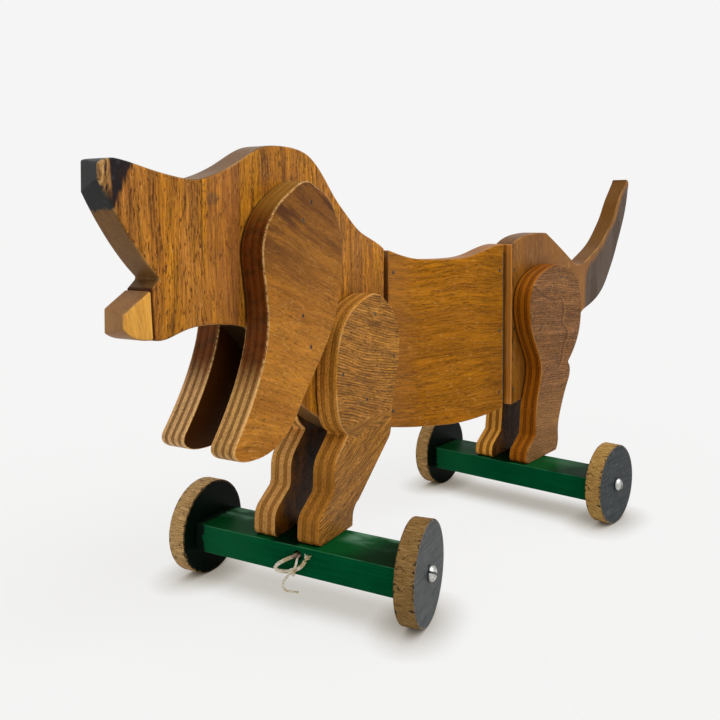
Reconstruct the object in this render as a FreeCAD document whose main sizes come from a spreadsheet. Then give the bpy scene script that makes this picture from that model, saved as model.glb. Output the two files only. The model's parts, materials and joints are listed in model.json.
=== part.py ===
"""Pull-along wooden hound in three hinged sections, standing on two wheeled beams.

Millimetres, +Z up, +X towards the head, +Y to the dog's left.  The floor is z = 0.

The dog is sawn from boards.  A head board, a middle board and a tail board stand on edge in a row and
are joined by two flexible strips let into saw cuts, so that the toy bends sideways as it is pulled.
Ears and legs are plywood, nailed flat on the sides.  Each pair of feet stands on a painted beam, and a
wood wheel turns on a round-head screw in each end of a beam.

Each section has a frame of its own: x forward from its reference edge or axle, y across from the middle
of its board, z up from the floor.  Heights in the outlines are given above the deck, which is the top of
a beam that is centred on its wheels.
"""
import FreeCAD, Part
import math
import os
import Sketcher
from FreeCAD import Placement, Rotation, Vector

SIZES = [
    ("board_thickness", 16.0, "head, middle and tail boards"),
    ("ply_thickness", 16.0, "ears and legs"),
    ("edge_round", 1.2, "worn radius on the arrises of boards and plywood"),
    ("head_length", 267.4, "head board, hinge edge to the tip of the nose"),
    ("middle_length", 116.0, "middle board, front to back"),
    ("tail_length", 264.4, "tail board, hinge edge to the tip of the tail"),
    ("jaw_setback", 13.0, "jaw's tip, behind the tip of the nose"),
    ("tip_skew", 14.0, "degrees that the nose and the jaw's tip are sawn out of square"),
    ("tip_trim", 0.6, "what the skewed saw cut takes off a tip on its left side"),
    ("hinge_gap", 8.5, "space between two boards at a hinge"),
    ("front_bend", 26.8, "degrees the head section stands turned left of the middle board"),
    ("rear_bend", 17.2, "degrees the tail section stands turned left of the middle board"),
    ("front_axle_reach", 99.0, "from the head board's back edge forward to the front axle"),
    ("rear_axle_setback", 13.0, "from the tail board's front edge back to the rear axle"),
    ("strip_thickness", 2.0, "hinge strip"),
    ("strip_inset", 13.0, "how far the strip reaches into each board"),
    ("kerf_clearance", 0.25, "between the strip and each wall of its saw cut"),
    ("kerf_end_room", 1.0, "between the strip's end or top and the end of its saw cut"),
    ("strip_height", 122.0, "hinge strip, top to bottom"),
    ("strip_bottom", 46.0, "hinge strip's lower edge above the deck"),
    ("right_ear_forward", 1.4, "right ear, nailed on further forward than the left"),
    ("right_ear_rise", 2.8, "right ear, nailed on higher than the left"),
    ("nail_radius", 0.9, "shank"),
    ("nail_head_radius", 1.3, "head"),
    ("nail_head_height", 1.0, "head, driven flush"),
    ("side_nail_bite", 7.0, "how far the nails through the plywood go into the board"),
    ("strip_nail_cover", 2.0, "wood left beyond the point of a nail through a strip"),
    ("foot_nail_bite", 20.5, "how far the nails up through a beam go into the feet"),
    ("foot_nail_back", 4.0, "foot nails behind their axle"),
    ("nail_clearance", 0.1, "round a nail where it passes through a strip"),
    ("nail_inset", 4.5, "from a board's hinge edge to the nails that hold a strip"),
    ("beam_length", 143.6, "between the wheels"),
    ("beam_width", 37.2, "front to back"),
    ("beam_height", 17.5, "top to bottom"),
    ("beam_round", 0.8, "softened edges under the paint"),
    ("front_beam_shift", 3.6, "front beam's middle, left of the board's middle"),
    ("rear_beam_shift", 8.4, "rear beam's middle, left of the board's middle"),
    ("front_screw_rise", 0.8, "front screws above the beam's middle"),
    ("rear_screw_rise", 3.0, "rear screws above the beam's middle"),
    ("sawn_skew", 7.3, "degrees that the front beam's left end is sawn out of square"),
    ("rear_sawn_skew", -2.9, "degrees that the rear beam's left end is sawn out of square"),
    ("wheel_radius", 30.0, "wheel"),
    ("wheel_thickness", 12.2, "wheel"),
    ("wheel_round", 0.8, "softened rims of a wheel"),
    ("wheel_side_gap", 0.6, "between a wheel and its beam, and a wheel and its screw's head"),
    ("bore_clearance", 0.1, "between a screw's shank and a wheel's bore, on the radius"),
    ("screw_radius", 2.4, "shank"),
    ("screw_head_radius", 4.8, "domed head"),
    ("screw_head_height", 3.4, "domed head"),
    ("screw_slot_width", 1.2, "driver slot"),
    ("screw_slot_depth", 1.7, "driver slot"),
    ("screw_grip", 25.0, "length of the shank inside the beam"),
    ("string_diameter", 2.1, "pull string"),
    ("string_end_diameter", 1.3, "pull string's hanging end, which has lost a strand"),
    ("string_hole_radius", 3.1, "hole in the front beam"),
    ("string_hole_depth", 16.0, "hole in the front beam"),
    ("string_hole_side", 6.9, "hole, left of the beam's middle"),
    ("string_hole_drop", 5.6, "hole's middle below the beam's top"),
    ("origin_x", -75.15, "rear axle along X, which centres the toy on the origin"),
    ("origin_y", 3.65, "tail board's middle along Y, which centres the toy on the origin"),
]

document = FreeCAD.newDocument("pull_along_hound")
sheet = document.addObject("Spreadsheet::Sheet", "Sizes")
for row, (alias, value, note) in enumerate(SIZES, start=1):
    sheet.set(f"A{row}", alias)
    sheet.set(f"B{row}", str(value))
    sheet.setAlias(f"B{row}", alias)
    sheet.set(f"C{row}", note)
document.recompute()


def size(alias):
    """One driving size, read from the spreadsheet."""
    return float(sheet.get(alias))


# ---------------------------------------------------------------- frames of the three sections
deck = size("wheel_radius") + size("beam_height") / 2
half_board = size("board_thickness") / 2
half_gap = size("hinge_gap") / 2
front_beam_top = deck - size("front_screw_rise")
rear_beam_top = deck - size("rear_screw_rise")


def frame(x, y, degrees):
    """A frame on the floor, turned about the vertical."""
    return Placement(Vector(x, y, 0), Rotation(Vector(0, 0, 1), degrees))


rear_axle = frame(size("origin_x"), size("origin_y"), 0)
rear_edge = rear_axle * frame(size("rear_axle_setback"), 0, 0)
rear_hinge = rear_edge * frame(half_gap, 0, 0)
middle_back = rear_hinge * frame(0, 0, -size("rear_bend")) * frame(half_gap, 0, 0)
front_hinge = middle_back * frame(size("middle_length") + half_gap, 0, 0)
front_edge = front_hinge * frame(0, 0, size("front_bend")) * frame(half_gap, 0, 0)
front_axle = front_edge * frame(size("front_axle_reach"), 0, 0)
front_wheels = front_axle * frame(0, size("front_beam_shift"), 0)
rear_wheels = rear_axle * frame(0, size("rear_beam_shift"), 0)
right_ear_frame = front_edge * Placement(Vector(size("right_ear_forward"), 0, size("right_ear_rise")),
                                         Rotation())


# ---------------------------------------------------------------- outlines, as (x, height above the deck)
# Each outline is a closed round of strokes: "line" joins its points straight, "curve" runs smoothly through.
def stretched(strokes, root, drawn, length):
    """The strokes with all beyond x = root stretched, so that what is drawn at x = drawn lands on length."""
    share = (length - root) / (drawn - root)

    def moved(x):
        return root + (x - root) * share if abs(x) > abs(root) else x

    return [(kind, [(moved(x), height) for x, height in points]) for kind, points in strokes]


def muzzle(strokes):
    """The head's strokes, with all ahead of the throat stretched to the head's length."""
    return stretched(strokes, 166, 267.4, size("head_length"))


def head_outline():
    """Head, neck and chest: x forward from the hinge edge."""
    return muzzle([
        ("line", [(0, 44), (0, 174.8)]),
        ("curve", [(0, 174.8), (12, 179.8), (25, 183.9), (36.5, 188.2), (46, 193.7), (56, 200.5),
                   (68, 209.2), (82, 222), (91, 229.2), (100, 234.3), (112, 237.2), (132, 237.7),
                   (147, 235.9), (160, 230.9), (172, 224.9), (183, 220.3), (194, 216.8)]),
        ("curve", [(194, 216.8), (206, 214.8), (220, 215.7), (236, 218.1), (248, 220.4), (257, 221.6)]),
        ("curve", [(257, 221.6), (262.4, 220.9), (265.8, 218.9), (267.4, 215.4), (265.6, 211)]),
        ("curve", [(265.6, 211), (258.6, 199.3), (248.6, 185.6), (238.8, 174.5), (230, 166.5)]),
        ("line", [(230, 166.5), (235.8, 161.8), (234.2, 137.7)]),
        ("curve", [(234.2, 137.7), (224.4, 137.1), (217.4, 138.6), (209.4, 140.1), (196, 140.6),
                   (180, 139), (166, 136)]),
        ("curve", [(166, 136), (148, 120), (128, 98), (110, 83), (90, 71)]),
        ("curve", [(90, 71), (62, 56), (32, 47), (0, 44)]),
    ])


def jaw_outline():
    """Tip of the lower jaw, glued on along an upright crack."""
    return muzzle([
        ("line", [(234.2, 137.7), (235.8, 161.8)]),
        ("curve", [(235.8, 161.8), (245.4, 156.2), (252.8, 151.8)]),
        ("curve", [(252.8, 151.8), (254.4, 149.6), (254.2, 146.9), (251.4, 143.1), (247, 140.2),
                   (240.8, 138.4), (234.2, 137.7)]),
    ])


def middle_outline():
    """Middle board: x forward from its back edge."""
    front = size("middle_length")
    return [
        ("line", [(0, 43.6), (0, 176.4)]),
        ("curve", [(0, 176.4), (10, 175.2), (21, 172), (31, 168.7), (42, 166.5), (52, 165.8),
                   (front - 45, 165.6), (front - 22, 167.3), (front - 10, 170.3), (front, 173.8)]),
        ("line", [(front, 173.8), (front, 43.4)]),
        ("curve", [(front, 43.4), (front - 22, 40.2), (front - 46, 38), (47, 36.9), (32, 37.8),
                   (16, 39.8), (0, 43.6)]),
    ]


def tail_outline():
    """Rump and raised tail: x back from the hinge edge, so every x is negative."""
    return stretched([
        ("line", [(0, 43.2), (0, 175.4)]),
        ("curve", [(0, 175.4), (-12, 180.4), (-28, 183.6), (-46, 185.1), (-65, 184.8)]),
        ("curve", [(-65, 184.8), (-90, 173.4), (-118, 159.6)]),
        ("curve", [(-118, 159.6), (-124, 156.6), (-133, 154.4), (-146, 155.4), (-158, 159.6)]),
        ("curve", [(-158, 159.6), (-175, 166.3), (-192, 175), (-203, 183), (-213, 191.5),
                   (-222.2, 200.2), (-235, 216.2), (-247, 228.2), (-257, 238)]),
        ("line", [(-257, 238), (-258.6, 240.6), (-261.6, 240.4)]),
        ("curve", [(-261.6, 240.4), (-264.4, 237.5), (-263.2, 231)]),
        ("curve", [(-263.2, 231), (-260.8, 222), (-256.6, 210.5), (-250, 197.5), (-243, 186.5),
                   (-232, 170.5), (-222.8, 157.6), (-212, 145), (-196, 129), (-180, 119.8),
                   (-164, 114.3), (-148, 110.4)]),
        ("curve", [(-148, 110.4), (-122, 95), (-92, 70), (-56, 52), (-24, 45.6), (0, 43.2)]),
    ], -148, -264.4, -size("tail_length"))


def ear_outline():
    """Hanging ear: x forward from the head board's hinge edge."""
    return [
        ("curve", [(118, 214.4), (129, 217), (141, 212), (156, 202.5), (166, 190.5), (169.4, 180),
                   (167.6, 162), (165.2, 146), (165.4, 133), (169.8, 118), (177.5, 102.6), (187, 88.2),
                   (193.8, 79.4)]),
        ("curve", [(193.8, 79.4), (194.4, 74.6), (190.4, 71.2), (180, 68.6), (167.6, 68.4),
                   (155.6, 71)]),
        ("curve", [(155.6, 71), (142, 79.6), (128.4, 95), (113.4, 111), (102, 124.4), (92.6, 142),
                   (88.2, 162), (87.4, 178), (92.6, 195.4), (102.6, 207.4), (118, 214.4)]),
    ]


def front_leg_outline():
    """Front leg: x forward from the front axle."""
    foot = front_beam_top - deck
    return [
        ("line", [(-25, foot), (12.6, foot)]),
        ("curve", [(12.6, foot), (15.2, 1.2), (16, 4)]),
        ("line", [(16, 4), (15.6, 11.5)]),
        ("curve", [(15.6, 11.5), (14, 15.8), (10.6, 19)]),
        ("line", [(10.6, 19), (-0.6, 26.6), (-1.6, 29.5), (-1.9, 39)]),
        ("curve", [(-1.9, 39), (-3.6, 44.4), (-8, 49.6)]),
        ("line", [(-8, 49.6), (-19.4, 59.6)]),
        ("curve", [(-19.4, 59.6), (-9.4, 69), (-5.8, 82), (-5.6, 105), (-10.4, 123), (-24, 137.2),
                   (-42, 144), (-58, 145.8), (-72, 139.6), (-83, 131), (-90.6, 119), (-92.4, 108),
                   (-87.6, 85), (-79.8, 58)]),
        ("curve", [(-79.8, 58), (-79.4, 52), (-78.4, 47.6), (-75, 43.6)]),
        ("line", [(-75, 43.6), (-33, 13.6)]),
        ("curve", [(-33, 13.6), (-28, 10.8), (-25.6, 6.5)]),
        ("line", [(-25.6, 6.5), (-25, foot)]),
    ]


def rear_leg_outline():
    """Rear leg: x forward from the rear axle."""
    foot = rear_beam_top - deck
    return [
        ("line", [(-39.6, foot), (12.4, foot)]),
        ("curve", [(12.4, foot), (15.6, -1.2), (16.4, 2)]),
        ("curve", [(16.4, 2), (15, 6.6), (11, 10.2)]),
        ("line", [(11, 10.2), (0.6, 17.2)]),
        ("curve", [(0.6, 17.2), (-1.2, 30), (-3.4, 45), (-9.4, 62), (-10.6, 74), (-4.4, 87), (5.6, 103),
                   (11.4, 121), (10, 134.8), (1, 146), (-17, 154), (-42, 158), (-64, 154.4),
                   (-80, 145.6), (-89, 131.6), (-90.8, 114), (-87.6, 97.6), (-78, 83), (-62.6, 70.4)]),
        ("curve", [(-62.6, 70.4), (-67, 66.2), (-67.2, 60.8), (-60.2, 49.6), (-50.4, 34), (-44.4, 21),
                   (-43.6, 10)]),
        ("curve", [(-43.6, 10), (-42.8, 2), (-39.6, foot)]),
    ]


# Places of nails: (x, height above the deck), in the same frames as the outlines they go through.
EAR_NAILS = [(122.6, 205), (131.2, 194.6), (131.6, 140), (123.2, 121)]
FRONT_LEG_NAILS = [(-54.8, 132.4), (-82.6, 100), (-12.6, 98.6), (-43.6, 77)]
REAR_LEG_NAILS = [(-46.6, 146.4), (-10.4, 107.4), (-78, 112), (-38, 78)]
FRONT_STRIP_NAILS = [55, 95, 157]
REAR_STRIP_NAILS = [56, 106, 155]


def sketch_outline(body, name, plane_role, strokes, offset):
    """A sketch on one of the body's origin planes, drawn with the strokes raised by offset."""
    sketch = body.newObject("Sketcher::SketchObject", name)
    plane = [item for item in body.Origin.OriginFeatures if item.Role == plane_role][0]
    sketch.AttachmentSupport = [(plane, "")]
    sketch.MapMode = "FlatFace"
    for kind, points in strokes:
        places = [Vector(x, y + offset, 0) for x, y in points]
        if kind == "line":
            for start, end in zip(places, places[1:]):
                sketch.addGeometry(Part.LineSegment(start, end))
        else:
            curve = Part.BSplineCurve()
            curve.interpolate(places)
            sketch.addGeometry(curve)
    return sketch


def plate(name, outline, thickness, near_side, place, sharp=False):
    """A board or a piece of plywood: the outline, padded across from near_side towards -Y."""
    body = document.addObject("PartDesign::Body", name)
    sketch = sketch_outline(body, name + "_outline", "XZ_Plane", outline, deck)
    pad = body.newObject("PartDesign::Pad", name + "_pad")
    pad.Profile = sketch
    pad.setExpression("Length", "Sizes." + thickness)
    document.recompute()
    if not sharp:
        fillet = body.newObject("PartDesign::Fillet", name + "_arris")
        fillet.Base = (pad, ["Edge1"])
        fillet.UseAllEdges = True
        fillet.setExpression("Radius", "Sizes.edge_round")
        body.Tip = fillet
    body.Placement = place * Placement(Vector(0, near_side, 0), Rotation())
    document.recompute()
    return body


def beam(name, sawn_skew, place):
    """A beam from wheel to wheel; its left end may be sawn out of square."""
    body = document.addObject("PartDesign::Body", name)
    half_width = size("beam_width") / 2
    half_length = size("beam_length") / 2
    slant = half_width * math.tan(math.radians(sawn_skew))
    corners = [(-half_width, -half_length), (half_width, -half_length),
               (half_width, half_length + slant), (-half_width, half_length - slant),
               (-half_width, -half_length)]
    sketch = sketch_outline(body, name + "_plan", "XY_Plane", [("line", corners)], 0)
    pad = body.newObject("PartDesign::Pad", name + "_pad")
    pad.Profile = sketch
    pad.setExpression("Length", "Sizes.beam_height")
    document.recompute()
    fillet = body.newObject("PartDesign::Fillet", name + "_arris")
    fillet.Base = (pad, ["Edge1"])
    fillet.UseAllEdges = True
    fillet.setExpression("Radius", "Sizes.beam_round")
    body.Tip = fillet
    body.Placement = place
    document.recompute()
    return body


def wheel(name, hub):
    """A plain disc bored for its screw, turning about the hub frame's y axis."""
    body = document.addObject("PartDesign::Body", name)
    sketch = sketch_outline(body, name + "_disc", "XZ_Plane", [], 0)
    for radius, bound in ((30, "Sizes.wheel_radius"), (2.5, "Sizes.screw_radius + Sizes.bore_clearance")):
        circle = sketch.addGeometry(Part.Circle(Vector(0, 0, 0), Vector(0, 0, 1), radius))
        sketch.addConstraint(Sketcher.Constraint("Coincident", circle, 3, -1, 1))
        radius_constraint = sketch.addConstraint(Sketcher.Constraint("Radius", circle, radius))
        sketch.setExpression(f"Constraints[{radius_constraint}]", bound)
    pad = body.newObject("PartDesign::Pad", name + "_pad")
    pad.Profile = sketch
    pad.setExpression("Length", "Sizes.wheel_thickness")
    document.recompute()
    rims = [f"Edge{number}" for number, edge in enumerate(pad.Shape.Edges, start=1)
            if len(edge.Vertexes) == 1 and edge.BoundBox.ZLength > 2 * size("wheel_radius") - 0.01]
    fillet = body.newObject("PartDesign::Fillet", name + "_rims")
    fillet.Base = (pad, rims)
    fillet.setExpression("Radius", "Sizes.wheel_round")
    body.Tip = fillet
    outer_face = size("wheel_side_gap") + size("wheel_thickness")
    body.Placement = hub * Placement(Vector(0, outer_face, 0), Rotation())
    document.recompute()
    return body


def revolved(name, outline):
    """A fastener turned about the y axis: the outline gives (radius, y)."""
    body = document.addObject("PartDesign::Body", name)
    sketch = sketch_outline(body, name + "_section", "XY_Plane", outline, 0)
    turned = body.newObject("PartDesign::Revolution", name + "_turned")
    turned.Profile = sketch
    turned.ReferenceAxis = (sketch, ["V_Axis"])
    turned.Angle = 360
    body.Tip = turned
    document.recompute()
    return body


def wheel_screw():
    """Round-head wood screw: y = 0 under the head, shank towards -y."""
    shank = size("screw_radius")
    head = size("screw_head_radius")
    rise = size("screw_head_height")
    length = 2 * size("wheel_side_gap") + size("wheel_thickness") + size("screw_grip")
    point = 2 * shank
    body = revolved("screw_pattern", [
        ("line", [(0, rise), (0, -length), (shank, point - length), (shank, 0), (head, 0),
                  (head, 0.12 * rise)]),
        ("curve", [(head, 0.12 * rise), (0.86 * head, 0.6 * rise), (0.5 * head, 0.92 * rise), (0, rise)]),
    ])
    half_slot = size("screw_slot_width") / 2
    floor = rise - size("screw_slot_depth")
    slot_section = [(floor, -half_slot), (rise + 1, -half_slot), (rise + 1, half_slot),
                    (floor, half_slot), (floor, -half_slot)]
    sketch = sketch_outline(body, "slot_section", "YZ_Plane", [("line", slot_section)], 0)
    slot = body.newObject("PartDesign::Pocket", "slot")
    slot.Profile = sketch
    slot.Type = "ThroughAll"
    slot.Midplane = True
    body.Tip = slot
    document.recompute()
    return body


def nail(name, length):
    """A wire nail: y = 0 on top of the head, point towards -y."""
    shank, head, thick = size("nail_radius"), size("nail_head_radius"), size("nail_head_height")
    return revolved(name, [("line", [(0, 0), (0, -length), (shank, 2 * shank - length), (shank, -thick),
                                     (head, -thick), (head, 0), (0, 0)])])


def hole_pin(name, length):
    """The clearance hole that a nail needs through a strip."""
    radius = size("nail_radius") + size("nail_clearance")
    return revolved(name, [("line", [(0, 0), (0, -length), (radius, -length), (radius, 0), (0, 0)])])


def group(name, pattern, places):
    """Copies of one fastener, as separate solids of one sub-part."""
    copies = []
    for place in places:
        copy = pattern.Shape.copy()
        copy.Placement = place
        copies.append(copy)
    feature = document.addObject("Part::Feature", name)
    feature.Shape = Part.makeCompound(copies)
    return feature


def side_places(section, side, distance, spots):
    """Fastener frames on a section's left (side = 1) or right (side = -1), heads outward."""
    turn = Rotation(Vector(0, 0, 1), 0 if side > 0 else 180)
    return [section * Placement(Vector(x, side * distance, deck + height), turn) for x, height in spots]


def kerf(name, section, forward):
    """The saw cut in a board's hinge edge: forward (or back) into the board, and up from below."""
    box = document.addObject("Part::Box", name)
    depth = size("strip_inset") + size("kerf_end_room")
    half_width = size("strip_thickness") / 2 + size("kerf_clearance")
    box.setExpression("Length", "Sizes.strip_inset + Sizes.kerf_end_room + Sizes.hinge_gap / 2")
    box.setExpression("Width", "Sizes.strip_thickness + 2 * Sizes.kerf_clearance")
    box.Height = deck + size("strip_bottom") + size("strip_height") + size("kerf_end_room")
    start = -half_gap if forward else -depth
    box.Placement = section * Placement(Vector(start, -half_width, 0), Rotation())
    return box


def tip_cut(name, tip):
    """What the saw takes off a head tip: all ahead of an upright plane that slants back to the right."""
    reach = 2 * size("board_thickness")
    box = document.addObject("Part::Box", name)
    box.Length = reach
    box.Width = 2 * reach
    box.Height = size("head_length") + deck
    cut_line = Vector(tip - size("tip_trim"), half_board, 0)
    turned = Placement(cut_line, Rotation(Vector(0, 0, 1), -size("tip_skew")))
    box.Placement = front_edge * turned * Placement(Vector(0, -1.25 * reach, 0), Rotation())
    return box


def worn(name, sharp):
    """The same piece with every arris softened."""
    softened = document.addObject("Part::Fillet", name)
    softened.Base = sharp
    radius = size("edge_round")
    softened.Edges = [(number + 1, radius, radius) for number in range(len(sharp.Shape.Edges))]
    document.recompute()
    return softened


def cut(name, base, tools):
    """The finished sub-part: the base with its saw cuts and the holes that its fasteners fill."""
    finished = document.addObject("Part::Cut", name)
    finished.Base = base
    if len(tools) == 1:
        finished.Tool = tools[0]
    else:
        together = document.addObject("Part::MultiFuse", name + "_tools")
        together.Shapes = tools
        finished.Tool = together
    document.recompute()
    return finished


def strip(name, hinge, bend):
    """A flexible strip: flat in both saw cuts and bent to an arc in the gap.

    The hinge frame looks forward from the piece behind; bend is the turn to the piece ahead, in degrees.
    """
    half = size("strip_thickness") / 2
    turn = math.radians(bend)
    side = math.copysign(1, turn)
    bend_radius = half_gap / math.tan(abs(turn) / 2)
    centre = Vector(-half_gap, side * bend_radius, 0)
    ahead = Vector(math.cos(turn), math.sin(turn), 0)
    across = Vector(-math.sin(turn), math.cos(turn), 0)
    back = Vector(-half_gap - size("strip_inset"), 0, 0)
    front = ahead * (half_gap + size("strip_inset"))

    def arc(offset):
        radius = bend_radius - side * offset
        points = []
        for part in (0, 0.5, 1):
            angle = part * turn
            points.append(centre + Vector(side * radius * math.sin(angle), -side * radius * math.cos(angle), 0))
        return points

    left, right = arc(half), arc(-half)
    edges = [
        Part.LineSegment(back + Vector(0, half, 0), left[0]),
        Part.Arc(*left),
        Part.LineSegment(left[2], front + across * half),
        Part.LineSegment(front + across * half, front - across * half),
        Part.LineSegment(front - across * half, right[2]),
        Part.Arc(right[2], right[1], right[0]),
        Part.LineSegment(right[0], back - Vector(0, half, 0)),
        Part.LineSegment(back - Vector(0, half, 0), back + Vector(0, half, 0)),
    ]
    body = document.addObject("PartDesign::Body", name)
    sketch = sketch_outline(body, name + "_plan", "XY_Plane", [], 0)
    for edge in edges:
        sketch.addGeometry(edge)
    pad = body.newObject("PartDesign::Pad", name + "_pad")
    pad.Profile = sketch
    pad.setExpression("Length", "Sizes.strip_height")
    body.Tip = pad
    body.Placement = hinge * Placement(Vector(0, 0, deck + size("strip_bottom")), Rotation())
    document.recompute()
    return body


def tube(name, points, radius, section):
    """A cord's tube along straight runs joined by arcs, each as large as its two runs allow."""
    edges, radii = [], []
    previous = points[0]
    for before, corner, after in zip(points, points[1:], points[2:]):
        into = (corner - before).normalize()
        out = (after - corner).normalize()
        half_turn = into.getAngle(out) / 2
        reach = 0.45 * min((corner - before).Length, (after - corner).Length)
        bend = reach / math.tan(half_turn)
        radii.append(round(bend, 1))
        start = corner - into * reach
        end = corner + out * reach
        inward = (out - into).normalize()
        middle = corner + inward * (bend / math.cos(half_turn) - bend)
        edges.append(Part.LineSegment(previous, start).toShape())
        edges.append(Part.Arc(start, middle, end).toShape())
        previous = end
    edges.append(Part.LineSegment(previous, points[-1]).toShape())
    path = Part.Wire(edges)
    ring = Part.Wire(Part.Circle(points[0], points[1] - points[0], radius).toShape())
    feature = document.addObject("Part::Feature", name)
    feature.Shape = path.makePipeShell([ring], True, False)
    feature.Placement = section
    share = feature.Shape.Volume / (math.pi * radius ** 2 * path.Length)
    print(f"{name}: {path.Length:.1f} mm long, bend radii {radii}, volume {share:.4f} of section x length")
    return feature


# The pull string is broken off short.  Both strands come out of the hole in the front beam and meet at a knot.
# Points are (x forward from the beam's front face, y to the left, z up), measured from the hole's middle.
LOOP_STRAND = [(-3.6, -1, 0.2), (2, -1.3, -0.1), (3.2, -4, -1.1), (3.6, -9.4, -4.2), (3.6, -13, -7),
               (3.6, -14, -9), (3.6, -12.3, -10.2), (3.8, -7.9, -9.8), (3.8, -2.9, -8.8),
               (3.8, 2.1, -6.6), (4.2, 6.6, -2.9), (4.2, 7.7, -0.5)]
HANGING_STRAND = [(-3.6, 1.2, 0.2), (2.5, 1.6, 0.3), (5, 2.5, -1.3), (5.8, 2.4, -3.7), (6, 0.4, -6.8),
                  (5.9, -1.5, -9.3), (5, -4.9, -12.4), (5, -7.2, -15.6), (5, -7.6, -18.4),
                  (5, -5.6, -20.3), (5, -2.1, -20.4), (5, 1.5, -19.7)]


def string_points(strand):
    """A strand's points in the front beam's frame."""
    hole = Vector(size("beam_width") / 2, size("string_hole_side"), front_beam_top - size("string_hole_drop"))
    return [hole + Vector(x, y, z) for x, y, z in strand]


# ---------------------------------------------------------------- fasteners
side_nail = nail("side_nail_pattern", size("ply_thickness") + size("side_nail_bite"))
strip_nail = nail("strip_nail_pattern", size("board_thickness") - size("strip_nail_cover"))
strip_pin = hole_pin("strip_pin_pattern", size("board_thickness"))
foot_nail = nail("foot_nail_pattern", size("beam_height") + size("foot_nail_bite"))
screw = wheel_screw()

outer = half_board + size("ply_thickness")
inset = size("nail_inset")
head_nails = [(inset, height) for height in FRONT_STRIP_NAILS]
middle_front_spots = [(size("middle_length") - inset, height) for height in FRONT_STRIP_NAILS]
middle_rear_spots = [(inset, height) for height in REAR_STRIP_NAILS]
tail_spots = [(-inset, height) for height in REAR_STRIP_NAILS]

parts = {}
nail_groups = [
    ("left_ear_nails", side_nail, side_places(front_edge, 1, outer, EAR_NAILS)),
    ("right_ear_nails", side_nail, side_places(right_ear_frame, -1, outer, EAR_NAILS)),
    ("left_front_leg_nails", side_nail, side_places(front_axle, 1, outer, FRONT_LEG_NAILS)),
    ("right_front_leg_nails", side_nail, side_places(front_axle, -1, outer, FRONT_LEG_NAILS)),
    ("left_rear_leg_nails", side_nail, side_places(rear_axle, 1, outer, REAR_LEG_NAILS)),
    ("right_rear_leg_nails", side_nail, side_places(rear_axle, -1, outer, REAR_LEG_NAILS)),
    ("head_board_strip_nails", strip_nail, side_places(front_edge, -1, half_board, head_nails)),
    ("middle_board_nails", strip_nail,
     side_places(middle_back, 1, half_board, middle_rear_spots + middle_front_spots)),
    ("tail_board_strip_nails", strip_nail, side_places(rear_edge, 1, half_board, tail_spots)),
]
for name, pattern, places in nail_groups:
    parts[name] = group(name, pattern, places)


def foot_nail_place(section, side, under_beam):
    """Frame of the nail that goes up through the beam into the middle of a foot."""
    upward = Rotation(Vector(1, 0, 0), -90)
    middle_of_foot = half_board + size("ply_thickness") / 2
    return section * Placement(Vector(-size("foot_nail_back"), side * middle_of_foot, under_beam), upward)


beam_height = size("beam_height")
for end, section, beam_top in (("front", front_axle, front_beam_top), ("rear", rear_axle, rear_beam_top)):
    name = end + "_foot_nails"
    under_beam = beam_top - beam_height
    both = [foot_nail_place(section, 1, under_beam), foot_nail_place(section, -1, under_beam)]
    parts[name] = group(name, foot_nail, both)


def hub(wheels, side, skew):
    """Frame on the end of a beam at a wheel's screw, y outward."""
    turn = skew if side > 0 else 180
    return wheels * Placement(Vector(0, side * size("beam_length") / 2, size("wheel_radius")),
                              Rotation(Vector(0, 0, 1), turn))


hubs = {
    "front_left": hub(front_wheels, 1, size("sawn_skew")),
    "front_right": hub(front_wheels, -1, 0),
    "rear_left": hub(rear_wheels, 1, size("rear_sawn_skew")),
    "rear_right": hub(rear_wheels, -1, 0),
}
SLOT_ANGLES = {"front_left": -32, "front_right": 15, "rear_left": 70, "rear_right": -50}
head_seat = 2 * size("wheel_side_gap") + size("wheel_thickness")


def screw_place(corner):
    """Where a wheel's screw ends up, with its slot at the angle it stopped at."""
    return hubs[corner] * Placement(Vector(0, head_seat, 0), Rotation(Vector(0, 1, 0), SLOT_ANGLES[corner]))


for end in ("front", "rear"):
    name = end + "_wheel_screws"
    parts[name] = group(name, screw, [screw_place(end + "_left"), screw_place(end + "_right")])
for corner, place in hubs.items():
    name = corner + "_wheel"
    parts[name] = wheel(name, place)

# ---------------------------------------------------------------- the three boards
head_blank = plate("head_blank", head_outline(), "board_thickness", half_board, front_edge, sharp=True)
nose_sawn = cut("nose_sawn", head_blank, [tip_cut("nose_cut", size("head_length"))])
parts["head_board"] = cut("head_board", worn("nose_worn", nose_sawn), [
    kerf("head_kerf", front_edge, True),
    parts["head_board_strip_nails"],
    parts["left_ear_nails"], parts["right_ear_nails"],
    parts["left_front_leg_nails"], parts["right_front_leg_nails"]])
jaw_blank = plate("jaw_blank", jaw_outline(), "board_thickness", half_board, front_edge, sharp=True)
jaw_sawn = cut("jaw_sawn", jaw_blank, [tip_cut("jaw_cut", size("head_length") - size("jaw_setback"))])
parts["jaw_tip"] = worn("jaw_tip", jaw_sawn)

middle_blank = plate("middle_blank", middle_outline(), "board_thickness", half_board, middle_back)
middle_front = middle_back * frame(size("middle_length"), 0, 0)
parts["middle_board"] = cut("middle_board", middle_blank, [
    kerf("middle_back_kerf", middle_back, True), kerf("middle_front_kerf", middle_front, False),
    parts["middle_board_nails"]])

tail_blank = plate("tail_blank", tail_outline(), "board_thickness", half_board, rear_edge)
parts["tail_board"] = cut("tail_board", tail_blank, [
    kerf("tail_kerf", rear_edge, False), parts["tail_board_strip_nails"],
    parts["left_rear_leg_nails"], parts["right_rear_leg_nails"]])

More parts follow.
